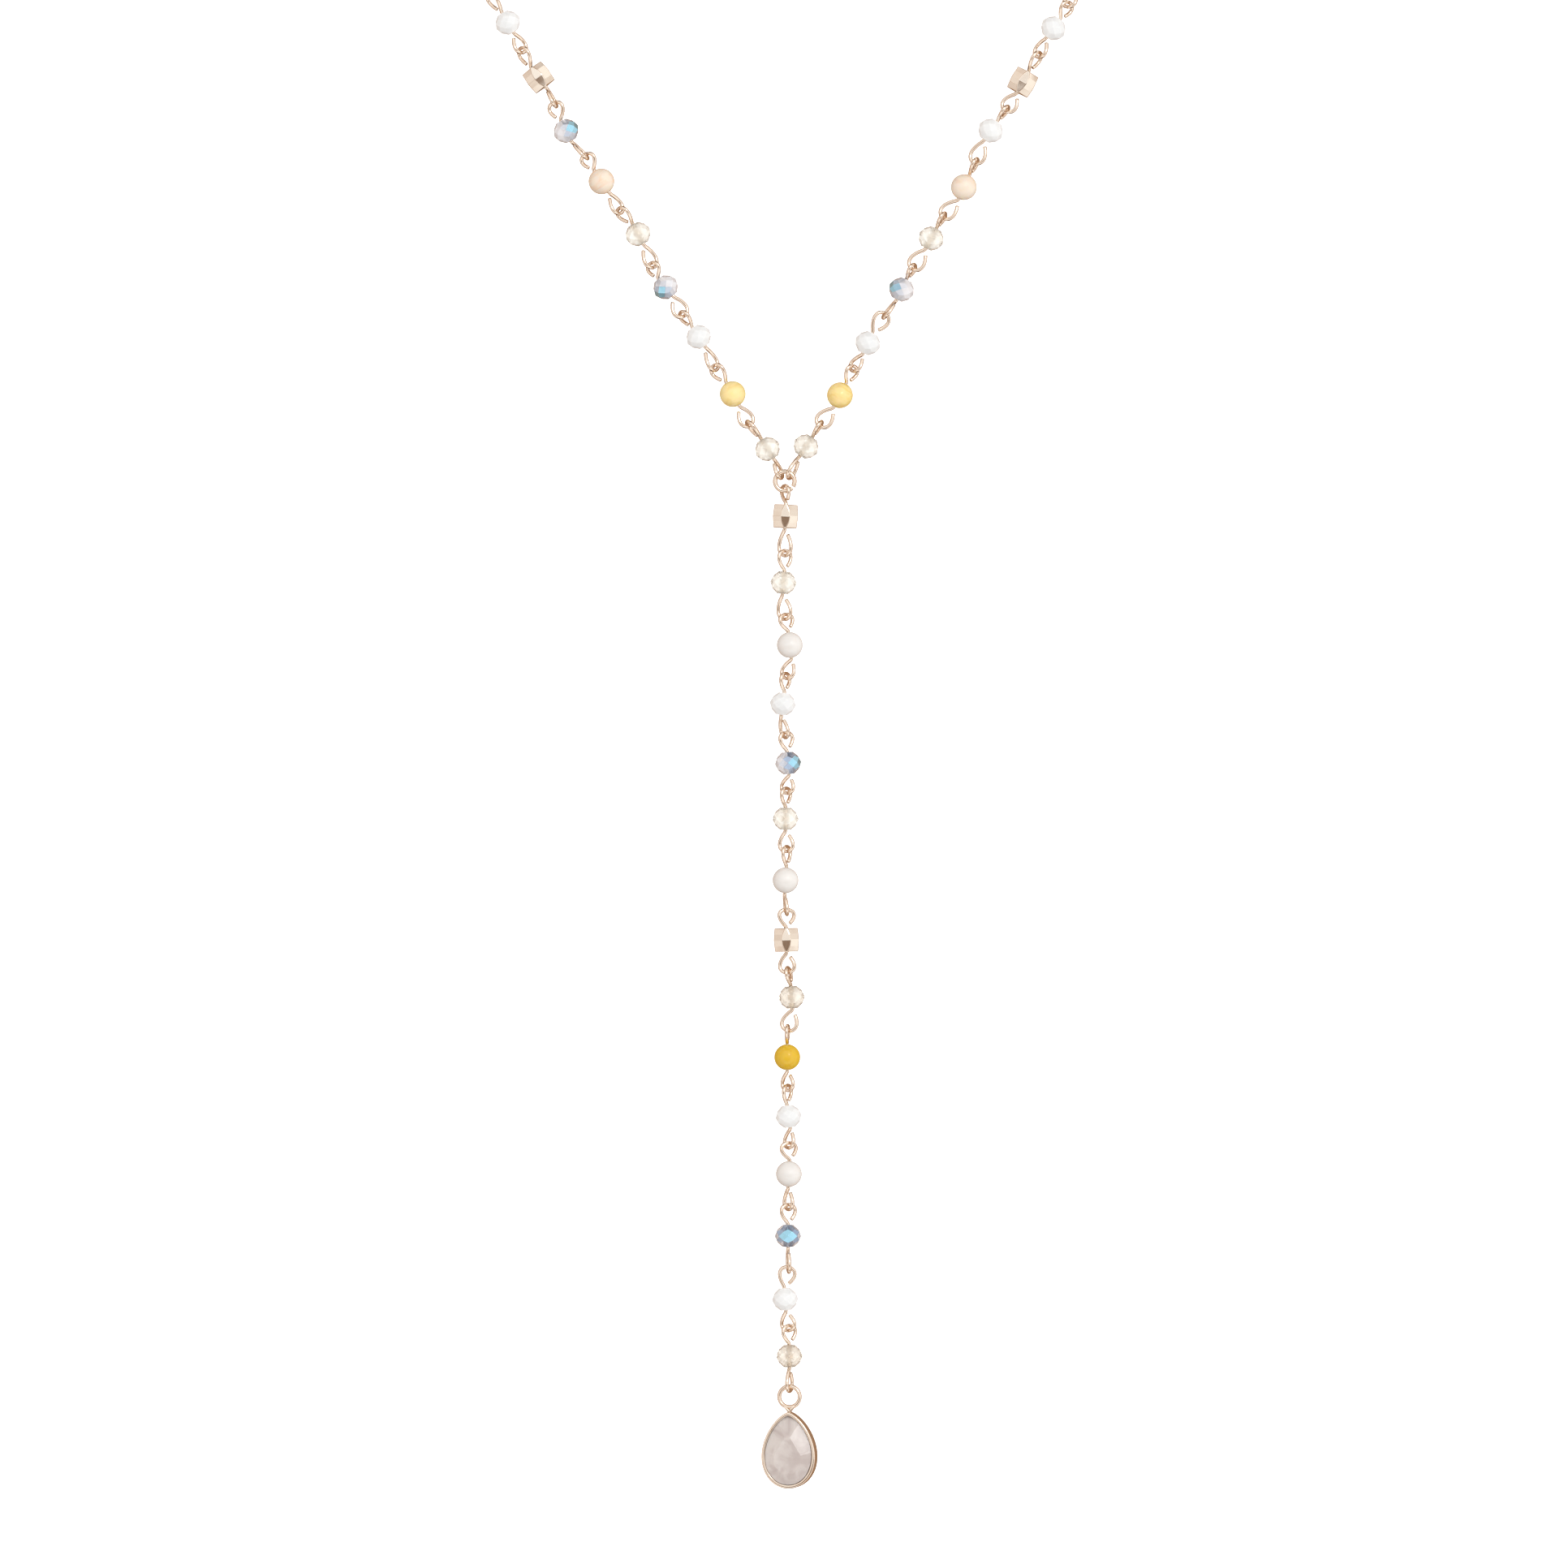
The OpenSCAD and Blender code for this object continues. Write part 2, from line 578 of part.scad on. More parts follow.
// Thickness of the thin plates whose hull makes the crown, as a share of its height
SLIVER = 0.01;
function table_half(side) = [for (c = TABLE_CORNERS) [side * c[0] * pendant_w, -c[1] * pendant_h]];
module stone_crown_cut(y_table, y_back) {
  sliver = stone_crown * SLIVER;
  rotate([90, 0, 0])
    hull() {
      translate([0, 0, -y_table - sliver])
        linear_extrude(sliver)
        polygon(concat(table_half(1), reversed(table_half(-1))));
      translate([0, 0, -y_back - sliver])
        linear_extrude(sliver)
        offset(delta = (y_back - y_table) / tan(CROWN_SLOPE))
        polygon(concat(table_half(1), reversed(table_half(-1))));
    }
}
module pendant_stone() {
  girdle_inset = setting_wall + stone_gap;
  inner_inset = girdle_inset + lip;
  y_table = FRONT - stone_crown;
  groove_front = FRONT + lip_t + stone_gap;
  groove_back = groove_front + GIRDLE_T;
  y_back = groove_back + stone_pavilion;
  half_w = pendant_w / 2;
  layers = [
    [inner_inset, y_table],
    [inner_inset, groove_front],
    [girdle_inset, groove_front],
    [girdle_inset, groove_back],
    [inner_inset, groove_back],
    [inner_inset, groove_back + lip_t],
    [inner_inset + KEEL_SHARE * half_w, groove_back + stone_pavilion * KEEL_DEPTH],
    [half_w * KEEL_INSET, y_back],
  ];
  outlines = [for (layer = layers) pear(layer[0], STONE_POINTS)];
  n = len(outlines[0]);
  points = [
    for (i = [0 : len(layers) - 1])
    for (p = outlines[i])
    [p[0], layers[i][1], p[1]]
  ];
  color("#e3d9d6")
    hung()
    translate([0, 0, SETTING_TOP])
    intersection() {
      polyhedron(points = points, faces = stack_faces(len(layers), n), convexity = 6);
      stone_crown_cut(y_table, y_back);
    }
}

// Barrel clasp, closed, with a fixed ring at each end
CLASP_CHAMFER = 0.5;
module clasp() {
  color(ROSE_GOLD) {
    rotate([0, 90, 0])
      rotate_extrude()
      polygon([
        [0, -barrel_l / 2],
        [barrel_d / 2 - CLASP_CHAMFER, -barrel_l / 2],
        [barrel_d / 2, CLASP_CHAMFER - barrel_l / 2],
        [barrel_d / 2, barrel_l / 2 - CLASP_CHAMFER],
        [barrel_d / 2 - CLASP_CHAMFER, barrel_l / 2],
        [0, barrel_l / 2],
      ]);
    for (side = [-1, 1])
      translate([side * CLASP_RING_X, 0, 0]) ring(CLASP_RING_R, clasp_wire);
  }
}

LAST_DROP = len(DROP_BEADS) - 1;
LAST_STRAND = len(LEFT_ROWS) - 1;

for (i = [1 : VISIBLE]) {
  bead(LEFT_ROWS[i - 1], LEFT_PLACES[i - 1], 1);
  bead(RIGHT_ROWS[i - 1], RIGHT_PLACES[i - 1], -1);
}
for (i = [1 : LAST_DROP + 1])
  bead(DROP_BEADS[i - 1], DROP_PLACES[i - 1], 1);
for (kind = HIDDEN_KINDS)
  hidden_beads(kind);
pins(LEFT_ROWS, LEFT_PLACES, 1, 0, VISIBLE - 1);  // pins_left
pins(RIGHT_ROWS, RIGHT_PLACES, -1, 0, VISIBLE - 1);  // pins_right
pins(DROP_BEADS, DROP_PLACES, 1, 0, LAST_DROP);  // pins_drop
pins(LEFT_ROWS, LEFT_PLACES, 1, VISIBLE, LAST_STRAND);  // pins_back_left
pins(RIGHT_ROWS, RIGHT_PLACES, -1, VISIBLE, LAST_STRAND);  // pins_back_right
junction_ring();
pendant_setting();
pendant_stone();
clasp();
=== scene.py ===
"""Lariat necklace: the looks around its solids.

Beads on wire pins hang in a Y, and the drop ends in a pear pendant. Lengths are in metres.
"""

import math
from collections import namedtuple

import bmesh
import bpy
from bpy.props import FloatProperty, FloatVectorProperty, IntProperty, PointerProperty
from mathutils import Matrix, Vector


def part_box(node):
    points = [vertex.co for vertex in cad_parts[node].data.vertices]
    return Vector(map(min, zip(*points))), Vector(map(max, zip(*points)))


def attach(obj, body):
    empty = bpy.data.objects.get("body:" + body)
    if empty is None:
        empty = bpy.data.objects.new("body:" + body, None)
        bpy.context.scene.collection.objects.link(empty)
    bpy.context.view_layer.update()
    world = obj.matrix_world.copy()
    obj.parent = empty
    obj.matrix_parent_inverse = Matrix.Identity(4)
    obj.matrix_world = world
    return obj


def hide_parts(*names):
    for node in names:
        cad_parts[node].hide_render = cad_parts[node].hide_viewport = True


bl_info = {
    "name": "Lariat necklace",
    "version": (1, 0, 0),
    "blender": (4, 5, 0),
    "location": "View3D > Sidebar > Necklace",
    "description": "Builds the beads, wire pins, rings and pendant of a lariat necklace",
    "category": "Add Mesh",
}

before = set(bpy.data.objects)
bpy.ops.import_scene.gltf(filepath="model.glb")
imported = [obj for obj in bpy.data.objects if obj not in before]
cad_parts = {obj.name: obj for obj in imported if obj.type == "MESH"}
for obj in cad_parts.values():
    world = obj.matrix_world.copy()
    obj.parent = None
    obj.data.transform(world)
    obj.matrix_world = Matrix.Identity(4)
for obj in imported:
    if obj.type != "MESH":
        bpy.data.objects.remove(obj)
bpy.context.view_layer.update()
NECKLACE = "necklace"
PENDANT = "pendant"

# Beads from the junction outwards. Eye lengths are shares of the usual one, and the bead's side
# step a share of a round stone, towards the middle on a strand and to the left on the drop. Tilt
# and turns are in degrees, from the line of hooks and from the front plane.
Row = namedtuple("Row", "kind near far side tilt near_turn far_turn")
LEFT_BEADS = [
    Row("champagne", 1.04, 1.16, 0.13, -1, 68, -75),
    Row("yellow", 1.14, 1.04, 0.08, 2, 25, -40),
    Row("opal", 1.34, 0.94, 0.10, -2, 50, -60),
    Row("blue", 1.16, 0.82, 0, -9, 20, -42),
    Row("champagne", 1.29, 1.02, 0.15, 3, 38, -50),
    Row("peach", 1.22, 0.90, 0, -3, 47, -30),
    Row("blue", 1.20, 0.96, -0.16, 4, 80, -25),
    Row("nugget", 1.13, 1.12, 0, -6, 80, -52),
    Row("opal", 1.12, 1.20, 0.08, 1, 45, -58),
]
RIGHT_BEADS = [
    Row("champagne", 1.28, 0.89, 0.04, -3, -68, -80),
    Row("yellow", 1.20, 0.94, -0.08, 3, 10, -45),
    Row("opal", 1.02, 1.17, 0.02, 6, 50, -15),
    Row("blue", 1.14, 0.81, -0.05, 5, 80, -70),
    Row("champagne", 1.26, 0.86, -0.03, 3, 10, -75),
    Row("peach", 1.20, 0.88, -0.11, 6, 20, -75),
    Row("opal", 1.26, 0.91, 0.11, -4, 20, -75),
    Row("nugget", 1.07, 1.12, 0, 2, 20, -60),
    Row("opal", 1.08, 0.94, 0.04, -6, 45, -45),
]
DROP_BEADS = [
    Row("nugget", 0.92, 1.41, -0.02, 3, 62, 39),
    Row("champagne", 1.03, 1.30, 0.07, 5, -39, 35),
    Row("moon", 0.85, 1.00, -0.16, -7, -35, 38),
    Row("opal", 0.95, 1.13, 0.12, 8, -55, 62),
    Row("blue", 0.95, 0.93, -0.07, -5, -35, 39),
    Row("champagne", 0.95, 1.08, 0.04, 0, -55, 29),
    Row("moon", 1.02, 1.05, 0.05, 4, -62, 83),
    Row("nugget", 0.91, 1.04, 0.03, -1, -14, 18),
    Row("champagne", 0.90, 1.11, -0.16, -4, -73, 12),
    Row("yellow", 0.90, 0.99, 0.02, 0, -83, 45),
    Row("opal", 0.98, 1.01, -0.02, -8, -60, 55),
    Row("moon", 0.87, 1.13, -0.02, 3, -18, 58),
    Row("blue", 0.99, 1.28, 0.03, 0, -26, 83),
    Row("opal", 1.03, 1.00, 0.15, -4, -5, 32),
    Row("champagne", 0.95, 1.22, 0, 0, -36, -70),
]
HIDDEN_TURNS = (45, -45)
CLASP_TURN = 90
VISIBLE = len(LEFT_BEADS)
ROUND_KINDS = ("moon", "peach", "yellow")
HIDDEN_KINDS = ("champagne", "yellow", "opal", "blue", "peach", "nugget")

# The blue coat on one side of a blue bead: how strong it is, and its direction to the right,
# towards the viewer and up
# The facets that face that direction most carry a painted sheen
Coat = namedtuple("Coat", "strength right front up")
COATS = {
    "left_4": Coat(0.60, -0.4, 0.7, -0.6),
    "left_7": Coat(0.55, 0.7, 0.7, 0.3),
    "right_4": Coat(0.45, -0.8, 0.6, 0.2),
    "drop_5": Coat(0.90, 0.6, 0.8, 0.1),
    "drop_13": Coat(1.00, 0.1, 1.0, 0.1),
}
PLAIN_COAT = Coat(0.80, 0.6, 0.7, 0.3)

# Tints of single stones, as shares of the deeper of a kind's two colours
TINTS = {
    "drop_10": 1.3,
    "left_2": 0.25,
    "right_2": 0.4,
    "right_6": 0.15,
    "drop_9": 0.9,
    "drop_15": 1.0,
    "right_3": 0.7,
    "drop_4": 0.5,
}
USUAL_TINT = 0.3


def metres(name, description, default):
    return FloatProperty(name=name, description=description, default=default, unit="LENGTH")


def degrees(name, description, default):
    turn = math.radians(default)
    return FloatProperty(name=name, description=description, default=turn, unit="ROTATION")


def factor(name, description, default):
    return FloatProperty(name=name, description=description, default=default, subtype="FACTOR")


def watts(name, description, default):
    return FloatProperty(name=name, description=description, default=default, unit="POWER")


def whole(name, description, default):
    return IntProperty(name=name, description=description, default=default)


def colour(name, description, default):
    return FloatVectorProperty(
        name=name, description=description, default=default, subtype="COLOR", size=3, min=0, max=1
    )


class NecklaceSizes(bpy.types.PropertyGroup):
    """Sizes of the pins, beads and rings"""

    wire: metres("Pin wire", "Diameter of the pins' wire", 0.0006)
    eye_width: metres("Eye width", "Width of an eye over its wire", 0.00295)
    eye_length: metres(
        "Eye length", "Usual length from a bead to the middle of the hook beyond it", 0.00275
    )
    neck: metres("Neck", "Straight wire between a bead and the bend of its eye", 0.00025)
    wire_gap: metres("Wire gap", "Gap between wires that hook each other", 0.00015)
    hole_gap: metres("Hole gap", "Gap between a bead's drilled hole and its wire", 0.00015)
    round_bead: metres("Round stone", "Diameter of the round stones", 0.004)
    rondelle_width: metres("Rondelle width", "Diameter of the faceted rondelles", 0.0041)
    rondelle_length: metres("Rondelle length", "Length of a rondelle along its wire", 0.0034)
    nugget_width: metres("Nugget width", "Diameter of the metal nuggets", 0.0039)
    nugget_length: metres("Nugget length", "Length of a nugget along its wire", 0.0036)
    rondelle_facets: whole("Rondelle facets", "Facets round a rondelle", 8)
    nugget_facets: whole("Nugget facets", "Facets round a nugget", 4)
    facet_edge: metres("Facet edge", "Width of the polished edge between two facets", 0.00003)
    left_angle: degrees("Left angle", "Angle between the left strand and the upright", 31.2)
    right_angle: degrees("Right angle", "Angle between the right strand and the upright", 30.6)
    drop_lean: degrees("Drop lean", "Angle by which the drop hangs off the upright", 0.3)
    hidden_pins: whole("Hidden pins", "Pins on each side behind the visible ones", 13)
    depth_share: factor(
        "Neck depth", "Depth of the neck opening, as a share of the hidden stretch", 0.72
    )
    rise_share: factor("Neck rise", "Rise to the nape, as a share of the hidden stretch", 0.4)
    junction_width: metres(
        "Junction ring", "Outer diameter of the ring where the strands meet", 0.0037
    )
    junction_wire: metres("Junction wire", "Wire of that ring", 0.0007)
    junction_cut: degrees("Junction join", "Opening of that ring's join", 10)
    junction_spread: degrees(
        "Junction spread", "Where the strands hook the ring, from its top", 40
    )
    barrel_width: metres("Clasp width", "Diameter of the clasp's barrel", 0.0034)
    barrel_length: metres("Clasp length", "Length of the clasp's barrel", 0.008)
    clasp_ring: metres("Clasp ring", "Outer diameter of the rings at the clasp's ends", 0.003)
    clasp_wire: metres("Clasp wire", "Wire of those rings", 0.0006)


class PendantSizes(bpy.types.PropertyGroup):
    """Sizes of the pendant"""

    width: metres("Width", "Width over the setting", 0.0084)
    height: metres("Height", "Height over the setting", 0.0118)
    depth: metres("Depth", "Depth of the setting's wall", 0.0026)
    wall: metres("Wall", "Thickness of the setting's wall", 0.00035)
    lip: metres("Lip", "Width of the lip that holds the stone", 0.0002)
    lip_thickness: metres("Lip thickness", "Thickness of that lip", 0.00035)
    rim_round: metres("Rim rounding", "Radius of the setting's front edges", 0.00024)
    crown: metres("Crown", "Height of the stone above the setting's front", 0.0007)
    pavilion: metres("Pavilion", "Depth of the stone behind its girdle", 0.0015)
    girdle: metres("Girdle", "Thickness of the stone's girdle", 0.0003)
    stone_gap: metres("Stone gap", "Gap between the stone and its setting", 0.00006)
    facet_edge: metres(
        "Facet edge", "Width of the polished edge between two of the stone's facets", 0.00004
    )
    tip_drop: metres(
        "Tip drop", "Height of the tip at which the strip crosses, below the ring", 0.0004
    )
    tip_spread: metres(
        "Tip spread", "Spread of the strip's ends on either side of the tip", 0.00075
    )
    tip_depth: metres("Tip depth", "Depth of the strip's ends", 0.0012)
    ring_width: metres("Ring", "Outer diameter of the pendant's ring", 0.00385)
    ring_wire: metres("Ring wire", "Wire of that ring", 0.00065)
    turn: degrees("Turn", "Turn of the pendant about its hanging line", -10)


class NecklaceColours(bpy.types.PropertyGroup):
    """Colours of the metal and stones, each kind from its pale to its deep one"""

    gold_pale: colour("Rose gold", "Polished rose gold", (0.97, 0.85, 0.73))
    gold_deep: colour("Deep rose gold", "Rose gold in its hollows", (0.88, 0.66, 0.48))
    nugget_pale: colour("Nugget", "Polished nugget", (0.99, 0.90, 0.79))
    nugget_deep: colour("Deep nugget", "Nugget's deeper patches", (0.91, 0.74, 0.58))
    opal_pale: colour("Opal", "White opal glass", (0.575, 0.595, 0.605))
    opal_deep: colour("Deep opal", "Greyer opal glass", (0.50, 0.52, 0.535))
    champagne_pale: colour("Champagne", "Clear champagne glass", (0.87, 0.87, 0.83))
    champagne_deep: colour("Deep champagne", "Smoky champagne glass", (0.73, 0.66, 0.57))
    blue_bare: colour("Bare side", "Blue bead without its coat", (0.90, 0.90, 0.93))
    blue_coat: colour("Blue coat", "Metallic coat of a blue bead", (0.38, 0.52, 0.74))
    # Painted sheen: the coat's colour on the facets that face its direction most, as if they
    # caught the light
    blue_painted_sheen: colour("Bright coat", "Brightest facets of the coat", (0.38, 0.75, 0.95))
    peach_pale: colour("Peach", "Peach stone", (0.76, 0.69, 0.60))
    peach_deep: colour("Deep peach", "Peach stone at its holes", (0.73, 0.42, 0.20))
    yellow_pale: colour("Yellow", "Yellow stone", (0.83, 0.70, 0.36))
    yellow_deep: colour("Deep yellow", "Golden yellow stone", (0.65, 0.44, 0.03))
    moon_pale: colour("Moonstone", "Moonstone", (0.72, 0.72, 0.71))
    moon_deep: colour("Deep moonstone", "Moonstone's pinkish bands", (0.65, 0.64, 0.62))
    quartz_pale: colour("Quartz", "Pale clouds of the quartz", (0.70, 0.665, 0.645))
    quartz_deep: colour("Deep quartz", "Pink-grey quartz", (0.52, 0.46, 0.445))


class StudioSettings(bpy.types.PropertyGroup):
    """Camera, floor and light"""

    distance: metres("Camera distance", "From the camera to the necklace's front plane", 2.0)
    framed: metres("Framed width", "Width of the front plane that the picture shows", 0.2415)
    floor_drop: metres("Floor", "Depth of the floor below the nape", 1.45)
    room: metres("Room", "Radius of the white room", 4.0)
    key: watts("Key light", "Power of the soft light at the front right", 9)
    side: watts("Side light", "Power of the strip light at the right", 4)
    fill: watts("Fill light", "Power of the soft light at the left", 4)
    glint: watts("Glint light", "Power of the small light at the front", 4)


# --- Where everything hangs ---------------------------------------------------------------

Place = namedtuple("Place", "centre axis near_tip far_tip side facing")
PEAR = 3 * math.sqrt(3) / 4
ROUTE_STEPS = 40
HANDLE_TRIES = 24


def upright_to(v, axis):
    return (v - v.dot(axis) * axis).normalized()


def leaning(angle):
    """The way up a strand that leans to the left by that angle."""
    return Vector((-math.sin(angle), 0, math.cos(angle)))


def mirrored(v):
    return Vector((-v.x, v.y, v.z))


def bead_length(sizes, kind):
    if kind == "nugget":
        return sizes.nugget_length
    return sizes.round_bead if kind in ROUND_KINDS else sizes.rondelle_length


def pin_length(sizes, row):
    return bead_length(sizes, row.kind) + (row.near + row.far) * sizes.eye_length


def hook_step(sizes, other_wire):
    return (sizes.wire + other_wire) / 2 + sizes.wire_gap


def pear_x(a):
    return math.sin(a) * math.sin(a / 2)


class Hanging:
    """Places of all pins, rings and stones, worked out from the sizes as the solids' are."""

    def __init__(self, sizes, pendant):
        self.sizes = sizes
        self.hook = hook_step(sizes, sizes.wire)
        self.junction_r = (sizes.junction_width - sizes.junction_wire) / 2
        self.ring_r = (pendant.ring_width - pendant.ring_wire) / 2
        self.clasp_r = (sizes.clasp_ring - sizes.clasp_wire) / 2
        self.clasp_x = sizes.barrel_length / 2 + self.clasp_r - sizes.clasp_wire / 4
        sides = {"left": (LEFT_BEADS, sizes.left_angle), "right": (RIGHT_BEADS, sizes.right_angle)}
        rows = {name: self.with_hidden(beads) for name, (beads, _) in sides.items()}
        tops, hidden = {}, {}
        for name, (beads, angle) in sides.items():
            shown = self.total(beads)
            tops[name] = self.strand_at(angle, shown)
            hidden[name] = self.total(rows[name]) - shown
        mean = sum(hidden.values()) / 2
        top_z = sum(top.z for top in tops.values()) / 2
        self.nape = Vector((0, sizes.depth_share * mean, top_z + sizes.rise_share * mean))
        self.rows = dict(rows, drop=DROP_BEADS)
        self.places = {}
        for name, (_, angle) in sides.items():
            hooks = self.strand_hooks(rows[name], tops[name], hidden[name], angle)
            self.places[name] = self.pin_places(rows[name], hooks, name == "right")
        down = -leaning(sizes.drop_lean)
        back = hook_step(sizes, sizes.junction_wire) - self.hook / 2
        start = Vector((0, 0, -self.junction_r)) - down * back
        hooks = [start + down * self.total(DROP_BEADS[:i]) for i in range(len(DROP_BEADS) + 1)]
        self.places["drop"] = self.pin_places(DROP_BEADS, hooks, False)
        self.junction = -self.nape
        step = self.hook / 2 - hook_step(sizes, pendant.ring_wire)
        self.ring_top = hooks[-1] + down * step - self.nape

    def seen(self, run):
        count = len(DROP_BEADS) if run == "drop" else VISIBLE
        return list(zip(self.rows[run], self.places[run]))[:count]

    def hidden(self, run):
        return list(zip(self.rows[run], self.places[run]))[VISIBLE:]

    def total(self, rows):
        return sum(pin_length(self.sizes, row) for row in rows)

    def with_hidden(self, beads):
        rows = list(beads)
        for i in range(self.sizes.hidden_pins):
            last = i == self.sizes.hidden_pins - 1
            turn = CLASP_TURN if last else HIDDEN_TURNS[1]
            rows.append(Row(beads[i % VISIBLE].kind, 1, 1, 0, 0, HIDDEN_TURNS[0], turn))
        return rows

    def strand_at(self, angle, distance):
        start = self.junction_r * leaning(self.sizes.junction_spread)
        step = distance + self.hook / 2 - hook_step(self.sizes, self.sizes.junction_wire)
        return start + leaning(angle) * step

    def route(self, top, end, start_dir, handle):
        """One Bezier curve from the last visible hook to the clasp."""
        first, second = top + handle * start_dir, end - handle * Vector((1, 0, 0))
        points = []
        for i in range(ROUTE_STEPS + 1):
            t = i / ROUTE_STEPS
            s = 1 - t
            points.append(s**3 * top + 3 * s * s * t * first + 3 * s * t * t * second + t**3 * end)
        return points

    def strand_hooks(self, rows, top, hidden, angle):
        """Middles of the hooks, the hidden ones along a curve that is as long as its pins."""
        sizes = self.sizes
        reach = self.clasp_x + self.clasp_r - hook_step(sizes, sizes.clasp_wire) + self.hook / 2
        end = self.nape - Vector((reach, 0, 0))
        low, high = 0.0, hidden
        for _ in range(HANDLE_TRIES):
            middle = (low + high) / 2
            path = self.route(top, end, leaning(angle), middle)
            short = sum((b - a).length for a, b in zip(path, path[1:])) < hidden
            low, high = (middle, high) if short else (low, middle)
        path = self.route(top, end, leaning(angle), (low + high) / 2)
        hooks = [self.strand_at(angle, self.total(rows[:i])) for i in range(VISIBLE + 1)]
        for i in range(VISIBLE + 1, len(rows) + 1):
            left = self.total(rows[VISIBLE:i])
            for n, (a, b) in enumerate(zip(path, path[1:])):
                step = (b - a).length
                if left <= step or n == ROUTE_STEPS - 1:
                    break
                left -= step
            hooks.append(a + (b - a) * left / step)
        return hooks

    def pin_places(self, rows, hooks, mirror):
        """Each pin's bead middle and axis, its eyes' tips, and its side and facing."""
        places = []
        facing = Vector((0, 1, 0))
        for row, start, end in zip(rows, hooks, hooks[1:]):
            along = (end - start).normalized()
            facing = upright_to(facing, along)
            side = facing.cross(along)
            slack = (end - start).length - pin_length(self.sizes, row)
            length = bead_length(self.sizes, row.kind)
            centre = (
                start
                + along * (row.near * self.sizes.eye_length + length / 2 + slack / 2)
                + side * row.side * self.sizes.round_bead
            )
            tilt = math.radians(row.tilt)
            axis = math.cos(tilt) * along + math.sin(tilt) * side
            tips = start - along * self.hook / 2, end + along * self.hook / 2
            near, far = (tip - self.nape for tip in tips)
            place = [centre - self.nape, axis, near, far, side, facing]
            if mirror:
                place = [mirrored(v) for v in place]
            places.append(Place(*place))
        return places


def hanging(context):
    return Hanging(context.scene.necklace_sizes, context.scene.necklace_pendant)


# --- Materials ----------------------------------------------------------------------------

WIRE_POLISH = 0.10
NUGGET_POLISH = 0.06
# Painted glow: emission that lights the opal glass from within, though it is no lamp
PAINTED_GLOW_COLOUR = (0.95, 0.955, 0.96, 1)
OPAL_PAINTED_GLOW = 0.32
# Painted glow of the round stones, in each stone's own colour, though they are no lamps
ROUND_PAINTED_GLOW = 0.14

# How far each colour scatters inside a round stone, and the depth of tone at its drilled ends
ROUND_STONES = {
    "peach": ((1.0, 0.75, 0.5), 0.5),
    "yellow": ((1.0, 0.75, 0.3), 0.7),
    "moon": ((1.0, 0.9, 0.85), 0.15),
}


class Socket:
    """A value in a material's nodes. Arithmetic on it adds Math nodes."""

    def __init__(self, finish, socket):
        self.finish = finish
        self.socket = socket

    def _math(self, operation, other, clamp=False):
        settings = {"operation": operation, "use_clamp": clamp}
        return self.finish.add("ShaderNodeMath", settings, {0: self, 1: other})

    def __add__(self, other):
        return self._math("ADD", other)

    def __mul__(self, other):
        return self._math("MULTIPLY", other)

    __radd__ = __add__
    __rmul__ = __mul__

    def clamped(self):
        return self._math("ADD", 0, clamp=True)

    def size(self):
        return self._math("ABSOLUTE", 0)


class Finish:
    """The nodes of one material or world."""

    def __init__(self, owner):
        owner.use_nodes = True
        self.owner = owner
        self.tree = owner.node_tree
        self.tree.nodes.clear()

    def add(self, kind, settings=None, inputs=None, output=0):
        node = self.tree.nodes.new(kind)
        for name, value in (settings or {}).items():
            if name == "stops":
                self._stops(node.color_ramp, value)
            else:
                setattr(node, name, value)
        for name, value in (inputs or {}).items():
            if isinstance(value, Socket):
                self.tree.links.new(value.socket, node.inputs[name])
            else:
                node.inputs[name].default_value = value
        return Socket(self, node.outputs[output])

    @staticmethod
    def _stops(ramp, stops):
        while len(ramp.elements) < len(stops):
            ramp.elements.new(1)
        for element, (position, colour) in zip(ramp.elements, stops):
            element.position = position
            element.color = (*colour, 1)

    def position(self):
        return self.add("ShaderNodeTexCoord", output="Object")

    def attribute(self, name, output="Vector"):
        return self.add("ShaderNodeAttribute", {"attribute_name": name}, output=output)

    def stretched(self, vector, scale):
        settings = {"operation": "MULTIPLY"}
        return self.add("ShaderNodeVectorMath", settings, {0: vector, 1: scale})

    def part(self, vector, output):
        return self.add("ShaderNodeSeparateXYZ", inputs={0: vector}, output=output)

    def clouds(self, vector, scale, detail=2.0, roughness=0.5, distortion=0.0):
        inputs = {
            "Vector": vector,
            "Scale": scale,
            "Detail": detail,
            "Roughness": roughness,
            "Distortion": distortion,
        }
        return self.add("ShaderNodeTexNoise", inputs=inputs)

    def between(self, value, low, high):
        """0 below low, 1 above high, and smooth from one to the other."""
        settings = {"interpolation_type": "SMOOTHSTEP"}
        inputs = {"Value": value, "From Min": low, "From Max": high}
        return self.add("ShaderNodeMapRange", settings, inputs)

    def blend(self, factor, first, second):
        settings = {"data_type": "RGBA", "clamp_factor": True}
        first, second = (c if isinstance(c, Socket) else (*c, 1) for c in (first, second))
        return self.add("ShaderNodeMix", settings, {0: factor, 6: first, 7: second}, output=2)

    def bump(self, height, strength, distance):
        inputs = {"Strength": strength, "Distance": distance, "Height": height}
        return self.add("ShaderNodeBump", inputs=inputs)

    def surface(self, **values):
        inputs = {name.replace("_", " "): value for name, value in values.items()}
        shader = self.add("ShaderNodeBsdfPrincipled", inputs=inputs)
        self.add_output("ShaderNodeOutputMaterial", shader)
        return self.owner

    def add_output(self, kind, shader):
        node = self.tree.nodes.new(kind)
        self.tree.links.new(shader.socket, node.inputs["Surface"])


